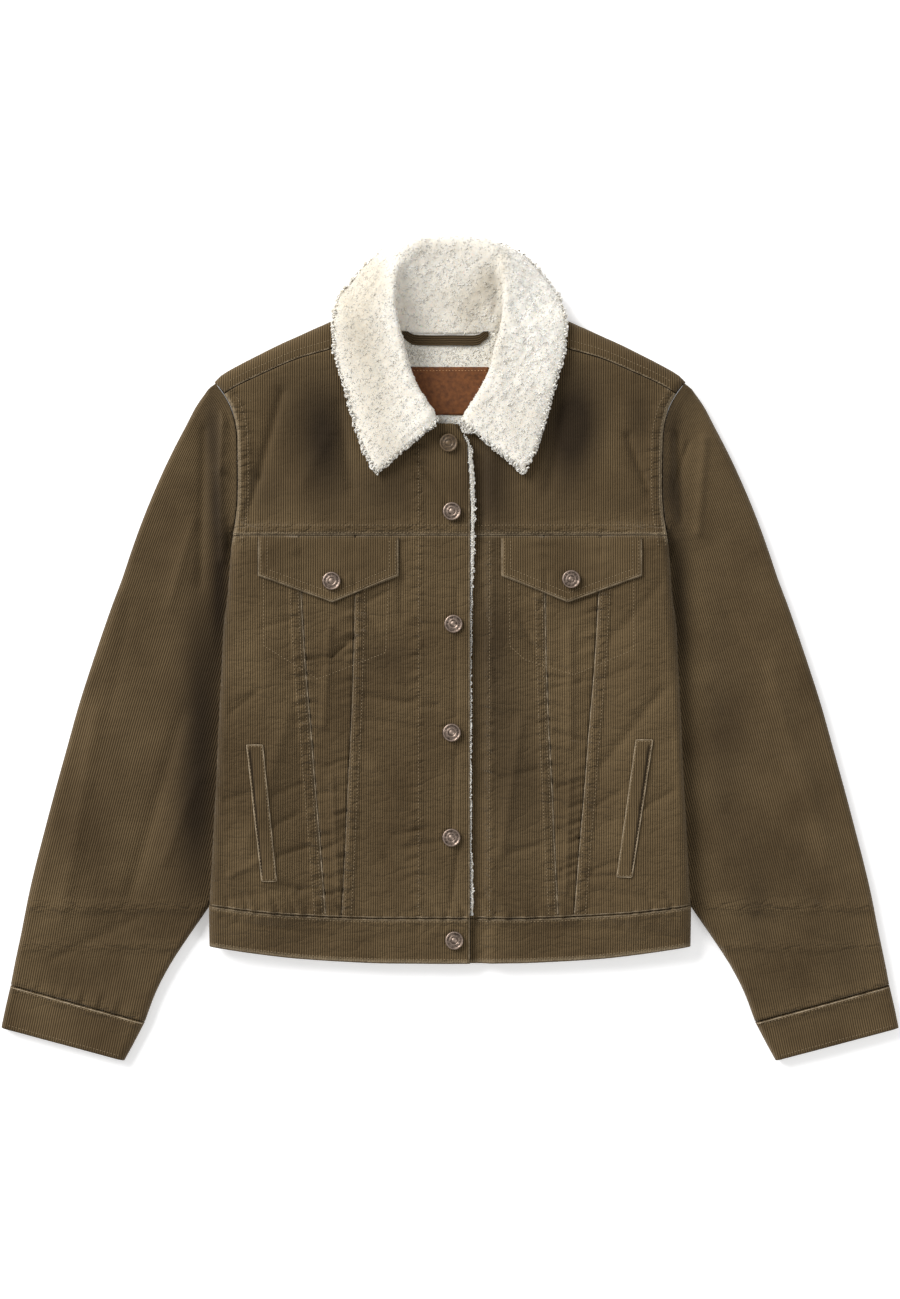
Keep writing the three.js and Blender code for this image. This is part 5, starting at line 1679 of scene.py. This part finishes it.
@dataclass
class Buttons:
    """Shank buttons with a raised rim, a ring and a domed centre."""

    looks: Looks
    sides: int = 56
    profile: tuple[tuple[float, float, float], ...] = (
        (5.2, 0.0, 0), (6.6, 0.1, 0), (7.9, 0.9, 0), (8.5, 1.8, 0.3), (8.5, 2.6, 0.7), (8.2, 3.3, 1), (7.7, 3.65, 1),
        (7.1, 3.55, 0.8), (6.7, 3.05, 0.1), (6.3, 2.8, 0), (5.6, 2.75, 0.15), (4.7, 2.9, 0.4), (4.2, 3.15, 0.8),
        (3.8, 3.15, 0.8), (3.5, 2.8, 0.1), (2.9, 2.7, 0), (2.2, 3.0, 0.5), (1.4, 3.3, 0.9), (0.6, 3.42, 1))

    def build(self) -> None:
        """Make every button over its solid."""
        for node in ("button_neck", "button_yoke", "button_chest", "button_middle", "button_low", "button_waist",
                     "button_flap_right", "button_flap_left"):
            self._button(node)

    def _button(self, node: str) -> None:
        """Make one button where its solid is."""
        low, high = (np.array(corner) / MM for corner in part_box(node))
        x, y = (low[:2] + high[:2]) / 2
        angle = np.arange(self.sides) * 2 * math.pi / self.sides
        points, raised = [], []
        for radius, z, shade in self.profile:
            ripple = 0.10 * np.sin(angle * 14) if 4.9 < radius < 6.0 else 0.0
            height = low[2] + z + ripple + 0 * angle
            points.append(np.stack([x + radius * np.cos(angle), y + radius * np.sin(angle), height], -1))
            raised += [shade] * self.sides
        points = np.concatenate(points + [np.array([[x, y, low[2]], [x, y, low[2] + 3.45]])])
        raised += [0.0, 1.0]
        rings, n = len(self.profile), self.sides
        faces = MeshKit.tube_faces(rings, n)
        for k in range(n):
            nxt = (k + 1) % n
            faces.append((rings * n, nxt, k))
            faces.append(((rings - 1) * n + k, (rings - 1) * n + nxt, rings * n + 1))
        piece = MeshKit.object_of(f"{node}_metal", points, faces, None, {"raised": np.array(raised)})
        metal = self.looks.dull_metal if node == "button_neck" else self.looks.metal
        Piece.settle(piece, "button_metal", metal, node)


@dataclass
class Topstitching:
    """All the topstitched rows of the jacket."""

    looks: Looks

    def build(self) -> None:
        """Sew the rows, group by group."""
        self._fronts()
        self._trims()
        self._sleeves()

    def _fronts(self) -> None:
        """Sew the fronts, the yokes, the armholes and the waistband."""
        sewing = Stitcher(Heights(front_names()))
        for side in Side:
            w = side.value
            start = -17 if w < 0 else 25
            for line, gaps in ((insert_outer, (3.4, 10.6)), (insert_inner, (-3.2, -9.4))):
                for gap in gaps:
                    sewing.sew_curve(lambda y: (w * (float(line(y)) + gap), y), -248, 70)
            for gap in (2.4, 9.6):
                sewing.sew_curve(lambda x: (w * x, YOKE_SEAM_Y + gap), start, 199)
            for gap in (3.0, 10.2):
                sewing.sew_curve(lambda y: (w * (float(side_edge(y)) - gap), y), 96, 236)
            for gap in (2.0, 8.6):
                sewing.sew_curve(lambda x: (w * x, float(shoulder_seam(x)) + gap), 112, 206)
            for line, gap in ((waist_seam, -3.2), (hem_line, 4.2)):
                sewing.sew_curve(lambda x: (w * x, float(line(abs(x))) + gap), start + 1, 219)
        sewing.sew_curve(lambda y: (-29.4, y), -248, 204)
        sewing.sew_curve(lambda y: (36.8, y), -248, 102)
        sewing.sew(StitchRow(((-173.5, 66), (-173.2, 3.6), (-123.5, -27.6), (-60, -2.8), (-57.6, 62))))
        sewing.sew(StitchRow(((171, 66), (171, 0), (116, -23.5), (70, -9.6), (56, 3.2), (55, 62))))
        sewing.finish("front_stitches", self.looks.thread, "corduroy")

    def _trims(self) -> None:
        """Sew the flaps and the welts."""
        for side in Side:
            w = side.value
            flap = Stitcher(Heights([f"pocket_flap_{side.word}_cloth"]))
            for gap in (2.6, 8.2):
                flap.sew(StitchRow([(w * x, y) for x, y in (
                    (48.4 + gap, 102), (48.4 + gap, 69.5 + gap * 0.7), (110, 43.9 + gap * 1.09),
                    (178.2 - gap, 69 + gap * 0.7), (178.2 - gap, 102))]))
            flap.finish(f"pocket_flap_{side.word}_stitches", self.looks.thread, "corduroy")
            welt = Stitcher(Heights([f"hand_welt_{side.word}_cloth"]))
            corners = (((162.6, -214.2), (175.2, -90.4), (188.2, -90.4), (174.2, -214.2), (162.6, -214.2)) if w < 0
                       else ((156.5, -210.2), (174, -85.6), (187.4, -85.6), (168.6, -210.2), (156.5, -210.2)))
            welt.sew(StitchRow([(w * x, y) for x, y in corners]))
            welt.finish(f"hand_welt_{side.word}_stitches", self.looks.thread, "corduroy")

    def _sleeves(self) -> None:
        """Sew the cuffs."""
        names = [f"{stem}_{side.word}_cloth" for side in Side for stem in ("sleeve_top", "cuff_top")]
        sewing = Stitcher(Heights(names))
        a, b = np.array([285.9, -348.9]), np.array([411.5, -314.3])
        c, d = np.array([305, -384.8]), np.array([420.3, -354])
        for side in Side:
            w = side.value
            for share in (0.07, 0.90):
                one, two = mix(a, c, share), mix(b, d, share)
                sewing.sew(StitchRow([(w * mix(one[0], two[0], t), mix(one[1], two[1], t))
                                      for t in np.linspace(0.05, 0.95, 30)]))
        sewing.finish("cuff_stitches", self.looks.thread, "corduroy")


@dataclass
class WornEdges:
    """Folded edges of the lapped seams, rubbed pale, as thin cords on the cloth."""

    looks: Looks

    def build(self) -> None:
        """Make the edges of the fronts, the flaps, the welts and the cuffs."""
        ground = Heights(front_names())
        strong: list[tuple[Array, float]] = []
        faint: list[tuple[Array, float]] = []
        levels = np.linspace(-247.5, 64, 190)
        for side in Side:
            w, over = side.value, side is Side.RIGHT
            outer = np.stack([w * (insert_outer(levels) + 0.8), levels], -1)
            inner = np.stack([w * (insert_inner(levels) - 0.8), levels], -1)
            strong.append((outer, 0.6 if over else 0.5))
            (faint if over else strong).append((inner, 0.5 if over else 0.55))
            xs = np.linspace(-17 if over else 25, 222, 150)
            for rise in (-1.5, 1.3):
                faint.append((np.stack([w * xs, waist_seam(np.abs(xs)) + rise], -1), 0.6))
            faint.append((np.stack([w * xs, hem_line(np.abs(xs)) + 1.5], -1), 0.55))
            xs = np.linspace(-17 if over else 25, 200, 120)
            faint.append((np.stack([w * xs, 0 * xs + YOKE_SEAM_Y + 1.0], -1), 0.4))
            ys = np.linspace(99, 236, 90)
            faint.append((np.stack([w * (side_edge(ys) - 1.0), ys], -1), 0.45))
            xs = np.linspace(112, 208, 60)
            faint.append((np.stack([w * xs, shoulder_seam(xs) + 1.2], -1), 0.6))
        ys = np.linspace(-290, 150, 260)
        faint.append((np.stack([0 * ys + OVERLAP_X - 0.9, ys], -1), 0.6))
        self._cords("front_worn_seams", strong, ground, self.looks.pale_edge)
        self._cords("front_worn_edges", faint, ground, self.looks.soft_edge)
        for side in Side:
            w = side.value
            flap = np.array([(48.7, 103), (48.7, 70), (110, 44.9), (177.9, 69.5), (177.9, 103)]) * (w, 1)
            name = f"pocket_flap_{side.word}"
            self._cords(f"{name}_edges", [(flap, 0.6)], Heights([f"{name}_cloth"]), self.looks.soft_edge)
            corners = (((161.6, -215.6), (174.3, -88.9), (189.1, -88.9), (174.9, -215.6), (161.6, -215.6)) if w < 0
                       else ((155.5, -211.7), (173.1, -84.1), (188.5, -84.1), (169.2, -211.7), (155.5, -211.7)))
            welt = np.array(corners) * (w, 1)
            name = f"hand_welt_{side.word}"
            self._cords(f"{name}_edges", [(welt, 0.55)], Heights([f"{name}_cloth"]), self.looks.pale_edge)
            cuff = np.array([(287.2, -350.1), (411.0, -316.0)]) * (w, 1)
            sleeve = Heights([f"sleeve_top_{side.word}_cloth", f"cuff_top_{side.word}_cloth"])
            self._cords(f"cuff_{side.word}_edges", [(cuff, 0.7)], sleeve, self.looks.pale_edge)

    @staticmethod
    def _cords(name: str, lines: Sequence[tuple[Array, float]], ground: Heights,
               material: bpy.types.Material) -> None:
        """Make one piece of cords that lie on the cloth.

        Args:
            name: Name of the piece.
            lines: Places of each cord in plan, with its radius.
            ground: Cloth that the cords lie on.
            material: Finish of the cords.
        """
        points: list[Array] = []
        faces: list[tuple[int, ...]] = []
        sides, count = 6, 0
        for line, radius in lines:
            total = distances(line)
            at = np.linspace(0, total[-1], max(4, int(total[-1] / 1.6)))
            x, y = (np.interp(at, total, line[:, k]) for k in (0, 1))
            z = ground.over([x], [y])[0]
            keep = z > 4
            x, y, z, at = x[keep], y[keep], z[keep], at[keep]
            z = np.maximum(z, np.convolve(np.pad(z, 1, "edge"), [0.25, 0.5, 0.25], "valid")) - 0.15
            dx, dy = np.gradient(x), np.gradient(y)
            run = np.maximum(np.hypot(dx, dy), 1e-6)
            thick = radius * (0.85 + 0.25 * np.sin(at / 2.9 + 1.7 * np.sin(at / 11)))
            thick[[0, -1]] *= 0.3
            for k in range(sides):
                angle = 2 * math.pi * k / sides
                off = thick * math.cos(angle)
                height = z + thick * math.sin(angle) * 0.8
                points.append(np.stack([x - dy / run * off, y + dx / run * off, height], -1))
            n = len(x)
            for k in range(sides):
                one, two = count + k * n, count + (k + 1) % sides * n
                faces += [(one + i, one + i + 1, two + i + 1, two + i) for i in range(n - 1)]
            faces.append(tuple(count + k * n for k in range(sides)))
            faces.append(tuple(count + k * n + n - 1 for k in reversed(range(sides))))
            count += sides * n
        piece = MeshKit.object_of(name, np.concatenate(points), faces)
        Piece.settle(piece, "corduroy", material)


@dataclass(frozen=True)
class Lamp:
    """One soft light that faces the jacket."""

    name: str
    place: tuple[float, float, float]
    size: float
    power: float

    def build(self) -> None:
        """Make the light."""
        data = bpy.data.lights.new(self.name, "AREA")
        data.size = self.size
        data.energy = self.power
        light = bpy.data.objects.new(self.name, data)
        light.location = self.place
        x, y, z = self.place
        light.rotation_euler = (math.atan2(math.hypot(x, y), z), 0, math.atan2(y, x) + math.pi / 2)
        bpy.context.scene.collection.objects.link(light)


@dataclass
class Studio:
    """Pale floor, soft lights and the camera over the jacket."""

    distance: float = 3.2
    width: float = 0.8406
    level: float = 0.016
    film: float = 36
    floor_half: float = 6
    daylight: float = 0.40
    lamps: tuple[Lamp, ...] = (Lamp("key", (-3.4, 2.9, 3.0), 3.0, 400), Lamp("fill", (2.6, -1.8, 3.0), 2.4, 50))

    def build(self) -> None:
        """Make the floor, the lights and the camera."""
        scene = bpy.context.scene
        mesh = bpy.data.meshes.new("floor")
        far = self.floor_half
        mesh.from_pydata([(-far, -far, 0), (far, -far, 0), (far, far, 0), (-far, far, 0)], [], [(0, 1, 2, 3)])
        mesh.materials.append(PaleFloor().build())
        floor = bpy.data.objects.new("floor", mesh)
        scene.collection.objects.link(floor)
        for lamp in self.lamps:
            lamp.build()
        scene.view_settings.view_transform = "Standard"
        world = bpy.data.worlds.new("studio")
        world.use_nodes = True
        sky = world.node_tree.nodes["Background"]
        sky.inputs["Color"].default_value = (1, 1, 1, 1)
        sky.inputs["Strength"].default_value = self.daylight
        scene.world = world
        data = bpy.data.cameras.new("camera")
        data.sensor_fit = "HORIZONTAL"
        data.sensor_width = self.film
        data.lens = self.film * (self.distance - self.level) / self.width
        data.clip_end = 50
        camera = bpy.data.objects.new("camera", data)
        camera.location = (0, 0, self.distance)
        scene.collection.objects.link(camera)
        scene.camera = camera


def main() -> None:
    """Build every piece in order."""
    logging.basicConfig(level=logging.INFO, format="%(name)s: %(message)s")
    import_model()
    Studio().build()
    looks = Looks()
    fronts = Fronts(looks)
    fronts.build()
    Back(looks).build()
    Waistband(looks).build()
    Sleeves(looks).build()
    bpy.context.view_layer.update()
    Pockets(looks, fronts.made).build()
    Neck(looks).build()
    bpy.context.view_layer.update()
    Collar(looks).build()
    FrontPile(looks).build()
    Buttons(looks).build()
    Topstitching(looks).build()
    WornEdges(looks).build()


if __name__ == "__main__":
    main()
